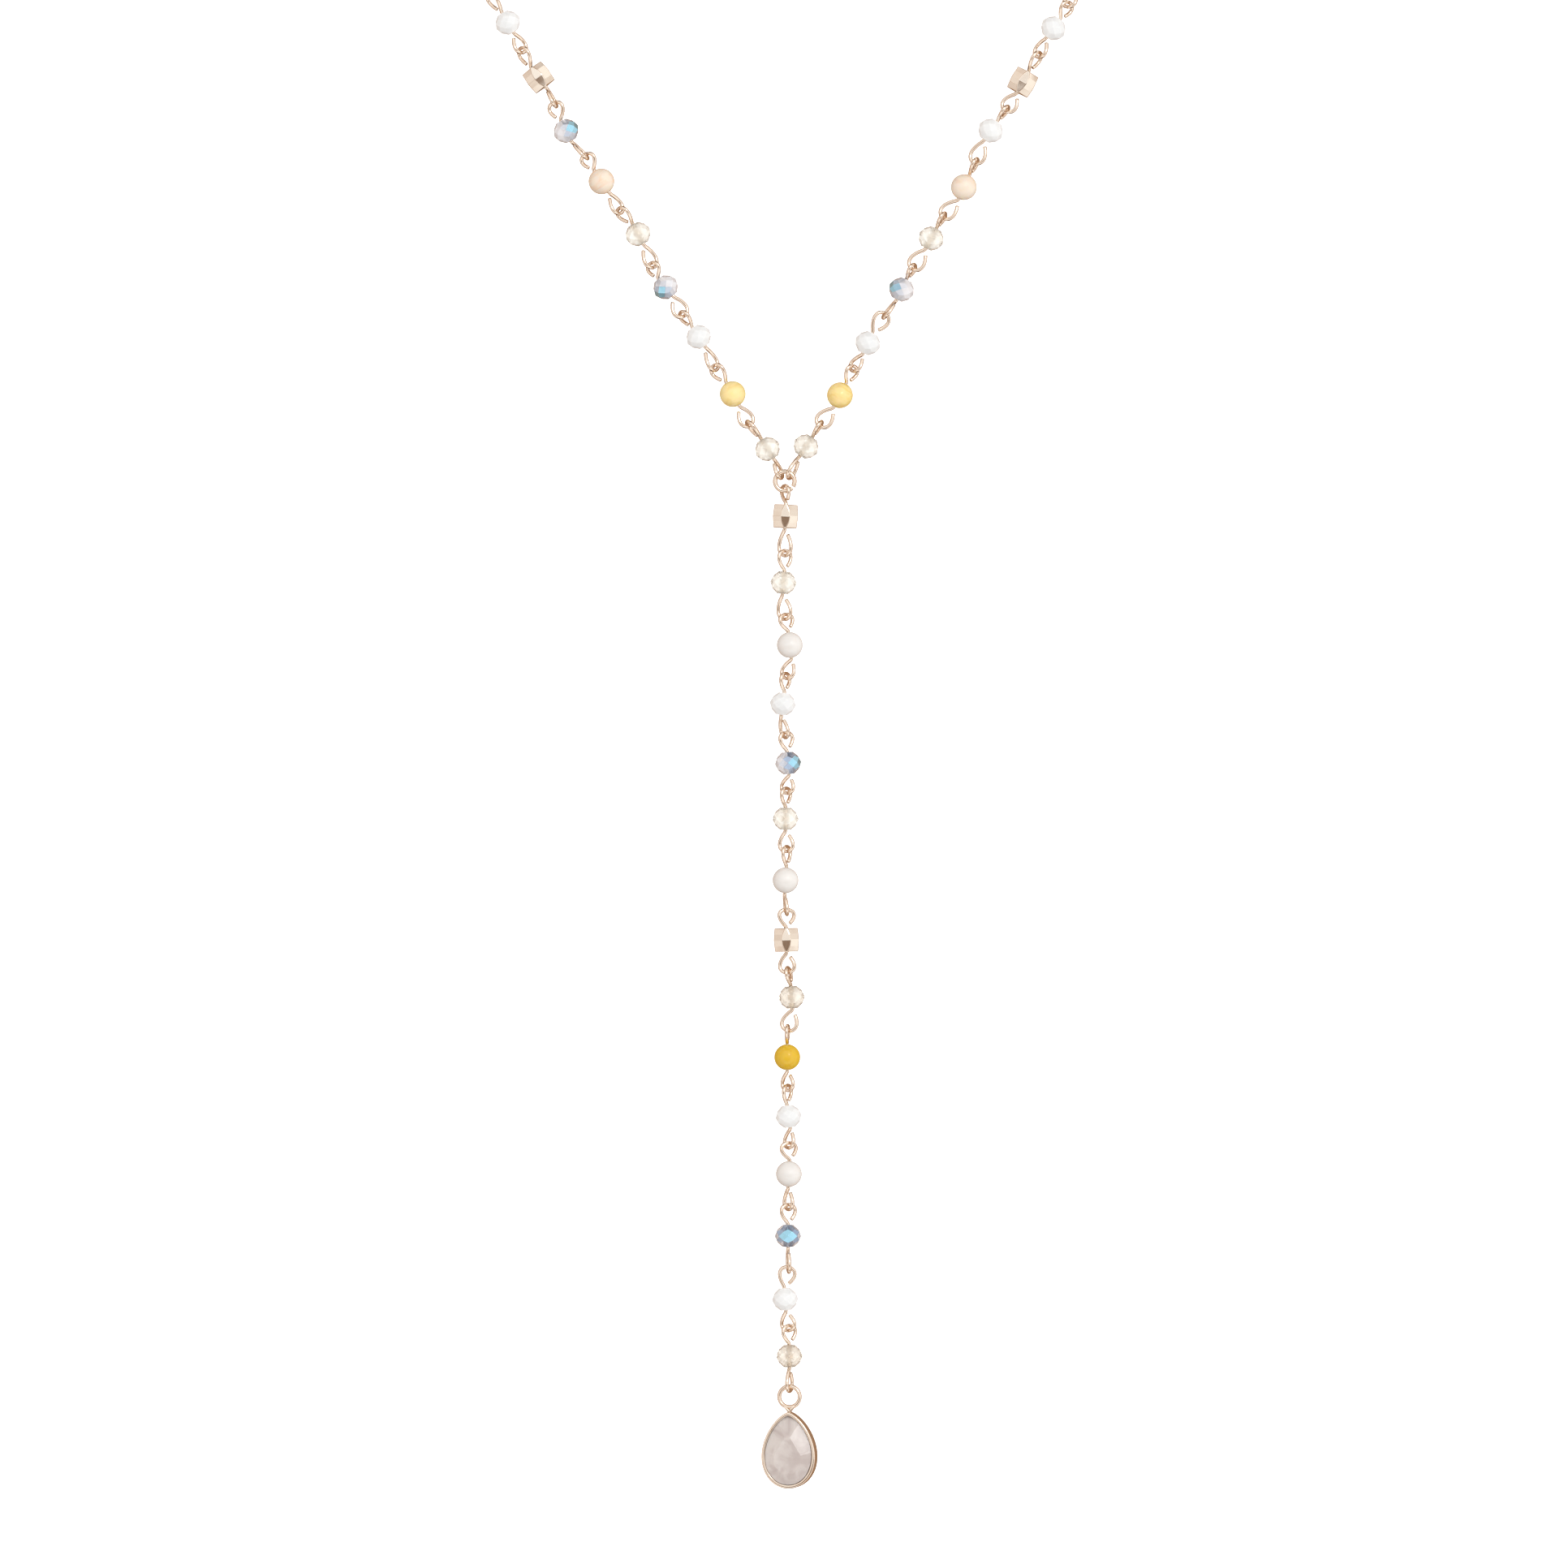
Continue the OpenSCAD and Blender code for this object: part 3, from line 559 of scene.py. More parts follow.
def rose_gold(name, colours, polish, dented=False):
    """Polished plated metal with faint drawing marks, or the soft dents of a tumbled bead."""
    finish = Finish(bpy.data.materials.new(name))
    place = finish.position()
    patches = finish.clouds(place, 420, detail=3)
    marks = finish.clouds(finish.stretched(place, (2600, 2600, 900)), 1, detail=4)
    tone = finish.between(patches, 0.45, 0.85) * 0.45
    normal = finish.bump(marks, 0.03, 0.00002)
    pale, deep = colours.gold_pale, colours.gold_deep
    if dented:
        pale, deep = colours.nugget_pale, colours.nugget_deep
        dents = finish.clouds(finish.attribute("grain_space"), 0.7, detail=0)
        normal = finish.bump(dents, 0.25, 0.00025)
    return finish.surface(
        Base_Color=finish.blend(tone, pale, deep),
        Metallic=1.0,
        Roughness=polish + 0.09 * marks,
        Normal=normal,
    )


def opal_glass(name, colours, tint):
    """Milky white glass: light goes into it, and a painted glow keeps it evenly pale all round."""
    finish = Finish(bpy.data.materials.new(name))
    grain = finish.attribute("grain_space")
    milk = finish.clouds(grain, 0.9, detail=2)
    share = (finish.between(milk, 0.35, 0.75) * 0.5 + tint * 0.5).clamped()
    return finish.surface(
        Base_Color=finish.blend(share, colours.opal_pale, colours.opal_deep),
        Roughness=0.12 + 0.08 * milk,
        # Painted glow that evens out the glass's light and shade
        Emission_Color=PAINTED_GLOW_COLOUR,
        Emission_Strength=OPAL_PAINTED_GLOW,
        Subsurface_Weight=0.85,
        Subsurface_Radius=(1.0, 1.0, 0.95),
        Subsurface_Scale=0.0016,
        Specular_IOR_Level=0.3,
        Coat_Weight=0.2,
        Coat_Roughness=0.08,
        Normal=finish.bump(milk, 0.05, 0.00003),
    )


def champagne_glass(name, colours, tint):
    """Cut glass with a champagne lustre that differs from facet to facet."""
    finish = Finish(bpy.data.materials.new(name))
    grain = finish.attribute("grain_space")
    local = finish.attribute("bead_space")
    facet = finish.attribute("facet", output="Fac")
    streaks = finish.clouds(finish.stretched(grain, (2.2, 2.2, 0.7)), 1, detail=3)
    ends = finish.between(finish.part(local, "Z").size(), 0.45, 0.95) * 0.25
    share = finish.between(streaks, 0.5, 0.8) * 0.3 + ends + facet * 0.45 + (tint * 0.6 - 0.1)
    pale, deep = colours.champagne_pale, colours.champagne_deep
    return finish.surface(
        Base_Color=finish.blend(share.clamped(), pale, deep),
        Roughness=0.03 + 0.05 * streaks,
        IOR=1.5,
        Transmission_Weight=0.65,
        Coat_Weight=0.4,
        Coat_Roughness=0.03,
    )


def blue_glass(name, colours):
    """Grey-lilac glass whose one side has a metallic blue coat, with a painted sheen on the single
    facets that face the coat's direction most.
    """
    finish = Finish(bpy.data.materials.new(name))
    grain = finish.attribute("grain_space")
    coated = finish.attribute("coated", output="Fac")
    facet = finish.attribute("facet", output="Fac")
    streaks = finish.clouds(grain, 1.6, detail=3)
    strength = finish.attribute("coat_strength", output="Fac")
    # Painted sheen on the facets that face the coat's direction most
    painted_sheen = finish.between(coated, 0.80, 0.88)
    coat = finish.between(coated + 0.25 * streaks + 0.2 * facet, 0.45, 0.95) * strength
    coat = (coat + painted_sheen).clamped()
    coat_colour = finish.blend(painted_sheen, colours.blue_coat, colours.blue_painted_sheen)
    return finish.surface(
        Base_Color=finish.blend(coat, colours.blue_bare, coat_colour),
        Metallic=coat * 0.7,
        Roughness=0.06 + 0.10 * streaks,
        IOR=1.5,
        Transmission_Weight=0.35,
        Coat_Weight=0.6,
        Coat_Roughness=0.03,
    )


def round_stone(name, colours, tint, kind):
    """Polished translucent stone with soft bands, a deeper tone round its drilled ends, and a
    painted glow in its own colour.
    """
    pale, deep = getattr(colours, f"{kind}_pale"), getattr(colours, f"{kind}_deep")
    scatter, ends_share = ROUND_STONES[kind]
    finish = Finish(bpy.data.materials.new(name))
    grain = finish.attribute("grain_space")
    local = finish.attribute("bead_space")
    bands = finish.clouds(finish.stretched(grain, (0.8, 1.1, 2.2)), 1, detail=3, distortion=0.6)
    ends = finish.between(finish.part(local, "Z").size(), 0.78, 1.0) * ends_share
    share = (finish.between(bands, 0.40, 0.72) * 0.35 + ends + tint).clamped()
    stone = finish.blend(share, pale, deep)
    return finish.surface(
        Base_Color=stone,
        # Painted glow in the stone's own colour
        Emission_Color=stone,
        Emission_Strength=ROUND_PAINTED_GLOW,
        Roughness=0.16 + 0.10 * bands,
        Subsurface_Weight=0.8,
        Subsurface_Radius=scatter,
        Subsurface_Scale=0.0014,
        Specular_IOR_Level=0.4,
        Coat_Weight=0.3,
        Coat_Roughness=0.08,
        Normal=finish.bump(bands, 0.04, 0.00003),
    )


def cloudy_quartz(name, colours):
    """Pink-grey quartz with a pale cloud through its middle and fine veils."""
    finish = Finish(bpy.data.materials.new(name))
    place = finish.position()
    cloud = finish.clouds(place, 330, detail=4, distortion=0.8)
    veils = finish.clouds(finish.stretched(place, (1500, 900, 500)), 1, detail=5, roughness=0.6)
    share = (finish.between(cloud, 0.36, 0.66) * 0.8 + 0.2 * veils).clamped()
    return finish.surface(
        Base_Color=finish.blend(share, colours.quartz_pale, colours.quartz_deep),
        Roughness=0.10 + 0.08 * veils,
        Subsurface_Weight=0.5,
        Subsurface_Radius=(1.0, 0.9, 0.85),
        Subsurface_Scale=0.0015,
        Specular_IOR_Level=0.35,
        Coat_Weight=0.25,
        Coat_Roughness=0.05,
        Normal=finish.bump(veils, 0.04, 0.00002),
    )


SLOTS = {"nugget": "rose_gold", "moon": "moonstone"}


def bead_finish(context, kind, key):
    """The material of one bead, made once for each kind and tint."""
    colours = context.scene.necklace_colours
    tint = TINTS.get(key, USUAL_TINT)
    name = f"{kind}_{round(tint * 100)}_finish"
    found = bpy.data.materials.get(name)
    if found:
        return found
    tint -= USUAL_TINT
    if kind == "nugget":
        return rose_gold(name, colours, NUGGET_POLISH, dented=True)
    if kind == "blue":
        return blue_glass(name, colours)
    if kind in ROUND_STONES:
        return round_stone(name, colours, tint, kind)
    glass = opal_glass if kind == "opal" else champagne_glass
    return glass(name, colours, tint)


def metal(context):
    found = bpy.data.materials.get("rose_gold_finish")
    return found or rose_gold("rose_gold_finish", context.scene.necklace_colours, WIRE_POLISH)


# --- Meshes -------------------------------------------------------------------------------

SAME_PLACE = 1e-7
CUT_END = 0.72
WIRE_ROUNDING = 3


def add_piece(mesh, name, body, slot, material, *nodes):
    """Puts a finished mesh into the scene in place of its solids."""
    piece = bpy.data.objects.new(name, mesh)
    bpy.context.scene.collection.objects.link(piece)
    mesh.materials.clear()
    mesh.materials.append(material)
    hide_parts(*nodes)
    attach(piece, body)
    return piece


def plain_mesh(bm, name):
    mesh = bpy.data.meshes.new(name)
    bm.to_mesh(mesh)
    bm.free()
    return mesh


def mesh_from(bm, name, smooth):
    """The bmesh as a mesh, with doubles merged and all faces turned outwards."""
    bmesh.ops.remove_doubles(bm, verts=bm.verts, dist=SAME_PLACE)
    bmesh.ops.recalc_face_normals(bm, faces=bm.faces)
    for face in bm.faces:
        face.smooth = smooth
    return plain_mesh(bm, name)


def edges_of(verts):
    return list({e for v in verts for e in v.link_edges})


def edges_in(geometry):
    return [g for g in geometry if isinstance(g, bmesh.types.BMEdge)]


def verts_in(geometry):
    return [g for g in geometry if isinstance(g, bmesh.types.BMVert)]


def tag_all(bm):
    """Marks what is already in its place, so that the next ring moves alone."""
    for v in bm.verts:
        v.tag = True


def bevelled(bm, edges, width, segments=2):
    shape = {"segments": segments, "profile": 0.5, "affect": "EDGES", "material": -1}
    bmesh.ops.bevel(bm, geom=edges, offset=width, **shape)


def spun(bm, geometry, axis, angle, steps, merge=True):
    """Spins geometry about an axis through the origin."""
    turn = {"cent": (0, 0, 0), "axis": axis, "angle": angle}
    return bmesh.ops.spin(bm, geom=geometry, steps=steps, use_merge=merge, **turn)


def lathed(bm, outline, steps, axis=(0, 0, 1), closed=False):
    """Turns an outline of points all round an axis through the origin."""
    verts = [bm.verts.new(co) for co in outline]
    edges = [bm.edges.new(pair) for pair in zip(verts, verts[1:] + verts[:closed])]
    spun(bm, verts + edges, axis, math.tau, steps)


def wire_mesh(name, paths, radius):
    """Round wires along paths, their cut ends slightly chamfered."""
    curve = bpy.data.curves.new(name, "CURVE")
    curve.dimensions = "3D"
    curve.bevel_depth = radius
    curve.bevel_resolution = WIRE_ROUNDING
    curve.use_fill_caps = True
    for path in paths:
        spline = curve.splines.new("POLY")
        spline.points.add(len(path) - 1)
        for point, co in zip(spline.points, path):
            point.co = (*co, 1)
        spline.points[0].radius = spline.points[-1].radius = CUT_END
    holder = bpy.data.objects.new(name, curve)
    bpy.context.scene.collection.objects.link(holder)
    depsgraph = bpy.context.evaluated_depsgraph_get()
    made = bpy.data.meshes.new_from_object(holder.evaluated_get(depsgraph))
    bpy.data.objects.remove(holder)
    bm = bmesh.new()
    bm.from_mesh(made)
    return mesh_from(bm, name, True)


EYE_START = math.radians(50)
EYE_END = math.radians(306)
CORNER_STEPS = 5
CORNER_REACH = 0.6
CHAMFER = 0.00006


def rounded_corner(start, corner, end, steps):
    points = []
    for i in range(steps + 1):
        t = i / steps
        points.append((1 - t) ** 2 * start + 2 * t * (1 - t) * corner + t * t * end)
    return points


def eye_path(sizes, root, tip, turned, axis, steps):
    """An eye: out of the bead, round a pear-shaped bend to its tip and back to its cut end."""
    reach = (tip - root).length
    out = (tip - root) / reach
    across = upright_to(turned, out) * PEAR * (sizes.eye_width - sizes.wire) / 2
    bend = []
    for i in range(steps + 1):
        a = EYE_START + (EYE_END - EYE_START) * i / steps
        bend.append(root + out * reach / 2 * (1 - math.cos(a)) + across * pear_x(a))
    start, end = root - axis * sizes.neck, root + (bend[0] - root) * CORNER_REACH
    last = bend[-1] + (bend[-1] - bend[-2]).normalized() * CHAMFER
    return [*rounded_corner(start, root, end, CORNER_STEPS), *bend, last]


def pin_path(sizes, row, place, steps):
    half = bead_length(sizes, row.kind) / 2 + sizes.neck
    ends = []
    for sign, tip, turn in ((-1, place.near_tip, row.near_turn), (1, place.far_tip, row.far_turn)):
        angle = math.radians(turn)
        turned = math.cos(angle) * place.side + math.sin(angle) * place.facing
        axis = place.axis * sign
        ends.append(eye_path(sizes, place.centre + axis * half, tip, turned, axis, steps))
    return [*reversed(ends[0]), *ends[1]]


FACET_STEP = 0.618
GRAIN_SHIFT = Vector((3.7, 1.9, 5.3))
LEVEL = 0.999
CUT_SLACK = 1e-8
SAME_PLANE = math.radians(2)


def carry_attributes(bm, radius, seed):
    """Stores each corner's place on its own bead and each facet's tone, for the patterns."""
    local = bm.verts.layers.float_vector.new("bead_space")
    grain = bm.verts.layers.float_vector.new("grain_space")
    for v in bm.verts:
        v[local] = v.co / radius
        v[grain] = v.co / radius + seed * GRAIN_SHIFT
    tone = bm.faces.layers.float.new("facet")
    for i, face in enumerate(bm.faces):
        face[tone] = (i + seed) * FACET_STEP % 1


def open_hole(bm, width):
    """Drills a bead along Z: both end faces are inset to the hole and joined by its wall."""
    tables = [f for f in bm.faces if abs(f.normal.z) > LEVEL]
    radius = min((e.verts[0].co.xy + e.verts[1].co.xy).length / 2 for e in tables[0].edges)
    reach = radius - width / 2
    bmesh.ops.inset_individual(bm, faces=tables, thickness=reach, use_even_offset=True)
    loops = [e for f in tables for e in f.edges]
    bmesh.ops.delete(bm, geom=tables, context="FACES_ONLY")
    bmesh.ops.bridge_loops(bm, edges=loops)


def ring_hull(facets, length, rings):
    """The hull of rings of corners about Z, each with a radius, a height share and a turn."""
    bm = bmesh.new()
    for radius, height, turn in rings:
        spin = Matrix.Rotation(math.tau * turn / facets - math.pi / 2, 4, "Z")
        lift = Matrix.Translation((0, 0, height * length / 2))
        bmesh.ops.create_circle(bm, segments=facets, radius=radius, matrix=lift @ spin)
    bmesh.ops.delete(bm, geom=bm.edges, context="EDGES_FACES")
    hull = bmesh.ops.convex_hull(bm, input=bm.verts)
    bmesh.ops.delete(bm, geom=verts_in(hull["geom_interior"]), context="VERTS")
    return bm


def cut_away(bm, place, normal):
    """Cuts a solid with a plane, drops what is beyond it and closes the cut."""
    cut = bmesh.ops.bisect_plane(
        bm,
        geom=bm.verts[:] + bm.edges[:] + bm.faces[:],
        dist=CUT_SLACK,
        plane_co=place,
        plane_no=normal,
        clear_outer=True,
    )
    edges = edges_in(cut["geom_cut"])
    if edges:
        bmesh.ops.edgenet_fill(bm, edges=edges)


def polished(bm, edge, hole):
    """Joins level faces, rounds all edges slightly and drills the hole."""
    bmesh.ops.dissolve_limit(bm, angle_limit=SAME_PLANE, verts=bm.verts, edges=bm.edges)
    bevelled(bm, list(bm.edges), edge)
    bmesh.ops.recalc_face_normals(bm, faces=bm.faces)
    open_hole(bm, hole)
    return bm


ROUND_STEPS = 32

# Shoulder and crown of a rondelle as shares of its half length, its table of its half width
RONDELLE_CUT = (0.4, 0.62, 0.42)

# Outline of a nugget from end to end: shares of its half length and of its corners' radius
NUGGET_LEVELS = [(-1, 0.74), (-0.5, 0.92), (0, 1), (0.5, 0.92), (1, 0.74)]
NUGGET_CORNER = 0.74
NUGGET_SLOPE = math.radians(5)
NUGGET_EDGE = 3


def rondelle_bead(sizes, hole):
    """Diamonds round its girdle, kites above and below, and a flat table at each end."""
    facets = sizes.rondelle_facets
    shoulder, crown, table = RONDELLE_CUT
    girdle_r = sizes.rondelle_width / 2
    shoulder_r = girdle_r * math.cos(math.pi / facets)
    slope = (girdle_r - shoulder_r * math.cos(math.pi / facets)) / shoulder
    upper = [
        (table * girdle_r, 1, 0),
        (girdle_r - slope * crown, crown, 0),
        (shoulder_r, shoulder, 0.5),
    ]
    rings = upper + [(girdle_r, 0, 0)] + [(r, -z, turn) for r, z, turn in upper]
    return polished(ring_hull(facets, sizes.rondelle_length, rings), sizes.facet_edge, hole)


def nugget_bead(sizes, hole):
    """A barrel with flat sides, its upright edges cut to two-faced lozenges."""
    facets = sizes.nugget_facets
    cut_r = sizes.nugget_width / 2
    corner_r = cut_r / NUGGET_CORNER
    rings = [(share * corner_r, height, -facets / 4) for height, share in NUGGET_LEVELS]
    bm = ring_hull(facets, sizes.nugget_length, rings)
    for i in range(facets):
        angle = math.tau * i / facets - math.pi / 2
        outward = Vector((math.cos(angle), math.sin(angle), 0))
        for lean in (NUGGET_SLOPE, -NUGGET_SLOPE):
            cut_away(bm, outward * cut_r, outward + Vector((0, 0, math.tan(lean))))
    return polished(bm, sizes.facet_edge * NUGGET_EDGE, hole)


def round_bead(width, hole):
    """A drilled round stone, spun about Z from its half outline."""
    radius = width / 2
    start = math.asin(hole / width)
    arc = []
    count = ROUND_STEPS * 3 // 4
    for i in range(count + 1):
        a = start + (math.pi - 2 * start) * i / count
        arc.append((radius * math.sin(a), 0, radius * math.cos(a)))
    bm = bmesh.new()
    lathed(bm, arc, ROUND_STEPS, closed=True)
    bmesh.ops.remove_doubles(bm, verts=bm.verts, dist=SAME_PLACE)
    bmesh.ops.recalc_face_normals(bm, faces=bm.faces)
    return bm


def placed_bead(sizes, row, place, seed, coat):
    """One bead on its pin, as a bmesh in the frame."""
    hole = sizes.wire + 2 * sizes.hole_gap
    if row.kind in ROUND_KINDS:
        bm, radius = round_bead(sizes.round_bead, hole), sizes.round_bead / 2
    elif row.kind == "nugget":
        bm, radius = nugget_bead(sizes, hole), sizes.nugget_width / 2
    else:
        bm, radius = rondelle_bead(sizes, hole), sizes.rondelle_width / 2
    carry_attributes(bm, radius, seed)
    axis = place.axis
    turn = Matrix.Rotation(math.atan2(axis.y, axis.x), 4, "Z") @ Matrix.Rotation(
        math.atan2(math.hypot(axis.x, axis.y), axis.z), 4, "Y"
    )
    bmesh.ops.transform(bm, matrix=Matrix.Translation(place.centre) @ turn, verts=bm.verts)
    bm.normal_update()
    if row.kind == "blue":
        # How far each facet faces the coat's direction: the coat, and at its most a painted sheen
        toward = Vector((coat.right, -coat.front, coat.up)).normalized()
        layers = bm.faces.layers.float
        for name in ("coated", "coat_strength"):
            layers.new(name)
        coated, strength = layers["coated"], layers["coat_strength"]
        for face in bm.faces:
            face[coated] = max(0.0, face.normal.dot(toward))
            face[strength] = coat.strength
    for face in bm.faces:
        face.smooth = row.kind in ROUND_KINDS
    return bm


SECTION_SIDES = 16
CAP_INSET = 0.12
CAP_DEPTH = 0.04


def torus(bm, radius, wire, matrix, start=0.0, angle=math.tau, steps=64):
    """A ring of wire about Y, spun from its round section, with caps on its ends if it is open."""
    section = bmesh.ops.create_circle(
        bm,
        cap_ends=False,
        segments=SECTION_SIDES,
        radius=wire / 2,
        matrix=Matrix.Rotation(-start, 4, "Y") @ Matrix.Translation((radius, 0, 0)),
    )["verts"]
    edges = edges_of(section)
    full = angle == math.tau
    made = spun(bm, section + edges, (0, -1, 0), angle, steps, full)
    if not full:
        inset = {"thickness": wire * CAP_INSET, "depth": wire * CAP_DEPTH}
        for rim in (edges, edges_in(made["geom_last"])):
            caps = bmesh.ops.contextual_create(bm, geom=rim)["faces"]
            bmesh.ops.inset_individual(bm, faces=caps, **inset)
    bmesh.ops.transform(bm, matrix=matrix, verts=[v for v in bm.verts if not v.tag])
    tag_all(bm)


# --- The pendant --------------------------------------------------------------------------

PEAR_POWER = 0.4
PEAR_COS = -PEAR_POWER / (2 + PEAR_POWER)
PEAR_WIDEST = math.sqrt(1 - PEAR_COS**2) * ((1 - PEAR_COS) / 2) ** (PEAR_POWER / 2)
OUTLINE_STEPS = 96

# Corners of the stone's table on its right side, from the top: shares of the pendant's width
# to the right of its middle, and of its height down from its tip
TABLE_CORNERS = [(0.05, 0.330), (0.246, 0.562), (0.240, 0.705), (0.105, 0.800)]
CROWN_SLOPE = math.radians(22)

# The stone's back, from its girdle to its keel: shares of the half width and of the depth
PAVILION_RINGS = [(0.12, 0.35), (0.30, 0.70), (0.62, 0.92), (0.86, 1.0)]
KEEL_INSET = 0.86
ARC_REACH = 0.48
RIM_STEPS = 4
STRIP_ROUND = 0.2


class PendantPlan:
    """The pendant's outline and the places that its parts share."""

    def __init__(self, context):
        self.sizes = sizes = context.scene.necklace_pendant
        hang = hanging(context)
        self.ring_r = hang.ring_r
        self.hung = Matrix.Translation(hang.ring_top) @ Matrix.Rotation(sizes.turn, 4, "Z")
        self.top = -2 * self.ring_r - sizes.ring_wire / 2 - sizes.tip_drop
        self.front = -sizes.depth / 2
        self.back = sizes.depth / 2
        self.groove_front = self.front + sizes.lip_thickness
        self.groove_back = self.groove_front + sizes.girdle + 2 * sizes.stone_gap

    def outline_point(self, inset, y, a):
        width = self.sizes.width - 2 * inset
        height = self.sizes.height - 2 * inset
        x = width / 2 / PEAR_WIDEST * math.sin(a) * math.sin(a / 2) ** PEAR_POWER
        return Vector((x, y, self.top - inset - height * (1 - math.cos(a)) / 2))

    def wall(self, bm, profile):
        """Pear outlines, each extruded from the one before; returns the first and last edges."""
        step = bm.verts.layers.int.new("step")
        verts = bmesh.ops.create_circle(bm, segments=OUTLINE_STEPS, radius=1)["verts"]
        for i, v in enumerate(verts):
            v[step] = i
        first = edges = edges_of(verts)
        for i, (inset, y) in enumerate(profile):
            if i:
                made = bmesh.ops.extrude_edge_only(bm, edges=edges)["geom"]
                verts = verts_in(made)
                edges = [e for e in edges_in(made) if e.is_boundary]
            for v in verts:
                v.co = self.outline_point(inset, y, math.tau * v[step] / OUTLINE_STEPS)
        return first, edges


def rounded(profile, radius):
    """A closed profile whose marked corners become arcs of that radius."""
    points = []
    count = len(profile)
    for i, (inset, y, marked) in enumerate(profile):
        here = Vector((inset, y))
        if not marked:
            points.append(here)
            continue
        before = Vector(profile[i - 1][:2]) - here
        after = Vector(profile[(i + 1) % count][:2]) - here
        reach = min(radius, before.length * ARC_REACH, after.length * ARC_REACH)
        start = here + before.normalized() * reach
        end = here + after.normalized() * reach
        points += rounded_corner(start, here, end, RIM_STEPS)
    return points


def setting_mesh(plan):
    """The pear rim with its lips, the strip's crossed ends and the ring on its tip."""
    sizes = plan.sizes
    wall, seat = sizes.wall, sizes.wall + sizes.lip
    behind = plan.groove_back + sizes.lip_thickness
    profile = [
        (0, plan.back, True),
        (0, plan.front, True),
        (seat, plan.front, True),
        (seat, plan.groove_front, False),
        (wall, plan.groove_front, False),
        (wall, plan.groove_back, False),
        (seat, plan.groove_back, False),
        (seat, behind, False),
        (wall, behind, False),
        (wall, plan.back, True),
    ]
    bm = bmesh.new()
    section = rounded(profile, sizes.rim_round)
    plan.wall(bm, section + section[:1])
    bmesh.ops.remove_doubles(bm, verts=bm.verts, dist=SAME_PLACE)
    rise = plan.ring_r - math.sqrt(plan.ring_r**2 - sizes.tip_spread**2)
    up = rise + sizes.tip_drop + sizes.ring_wire / 2
    length = math.hypot(sizes.tip_spread, up) + sizes.wall
    for side in (-1, 1):
        lean = Matrix.Rotation(side * math.atan2(sizes.tip_spread, up), 4, "Y")
        box = Matrix.Translation((0, 0, length / 2 - sizes.wall)) @ Matrix.Diagonal(
            (sizes.wall, sizes.tip_depth, length, 1)
        )
        matrix = Matrix.Translation((0, 0, plan.top)) @ lean @ box
        cube = bmesh.ops.create_cube(bm, size=1, matrix=matrix)["verts"]
        bevelled(bm, edges_of(cube), sizes.wall * STRIP_ROUND, 3)
    tag_all(bm)
    torus(bm, plan.ring_r, sizes.ring_wire, Matrix.Translation((0, 0, -plan.ring_r)))
    bmesh.ops.transform(bm, matrix=plan.hung, verts=bm.verts)
    return mesh_from(bm, "setting", True)


def stone_mesh(plan):
    """The pear-cut stone: a prism on its girdle, cut by planes from table to rim."""
    sizes = plan.sizes
    girdle = sizes.wall + sizes.stone_gap
    inner = girdle + sizes.lip
    table_y = plan.front - sizes.crown
    front = plan.groove_front + sizes.stone_gap
    back = front + sizes.girdle
    deep = back + sizes.lip_thickness
    layers = [(inner, table_y), (inner, front), (girdle, front), (girdle, back), (inner, back)]
    layers.append((inner, deep))
    for share, depth in PAVILION_RINGS:
        inset = inner + share * (sizes.width / 2 * KEEL_INSET - inner)
        layers.append((inset, deep + (back + sizes.pavilion - deep) * depth))
    bm = bmesh.new()
    for rim in plan.wall(bm, layers):
        bmesh.ops.contextual_create(bm, geom=rim)
    bmesh.ops.recalc_face_normals(bm, faces=bm.faces)
    right = [(x * sizes.width, plan.top - z * sizes.height) for x, z in TABLE_CORNERS]
    corners = right + [(-x, z) for x, z in reversed(right)]
    for (x0, z0), (x1, z1) in zip(corners, corners[1:] + corners[:1]):
        outward = Vector((-(z1 - z0), 0, x1 - x0)).normalized()
        normal = outward * math.sin(CROWN_SLOPE) - Vector((0, math.cos(CROWN_SLOPE), 0))
        cut_away(bm, (x0, table_y, z0), normal)
    bm.normal_update()
    facets = {f for f in bm.faces if f.normal.y < -0.5 and f.calc_center_median().y < plan.front}
    edges = [e for e in bm.edges if len(facets.intersection(e.link_faces)) == 2]
    bevelled(bm, edges, sizes.facet_edge)
    bmesh.ops.transform(bm, matrix=plan.hung, verts=bm.verts)
    return mesh_from(bm, "stone", False)


# --- Operators ----------------------------------------------------------------------------

SEEN_STEPS = 28
BACK_STEPS = 18
FIRST_HIDDEN_SEED = 41


class NECKLACE_OT_wire_pins(bpy.types.Operator):
    """Bend the wire pins that carry the beads"""

    bl_idname = "necklace.wire_pins"
    bl_label = "Wire pins"

    def execute(self, context):
        hang = hanging(context)
        runs = {
            "pins_left": (hang.seen("left"), SEEN_STEPS),
            "pins_right": (hang.seen("right"), SEEN_STEPS),
            "pins_drop": (hang.seen("drop"), SEEN_STEPS),
            "pins_back_left": (hang.hidden("left"), BACK_STEPS),
            "pins_back_right": (hang.hidden("right"), BACK_STEPS),
        }
        for node, (pins, steps) in runs.items():
            paths = [pin_path(hang.sizes, row, place, steps) for row, place in pins]
            name = node.replace("pins", "wire_pins")
            mesh = wire_mesh(name, paths, hang.sizes.wire / 2)
            add_piece(mesh, name, NECKLACE, "rose_gold", metal(context), node)
        return {"FINISHED"}


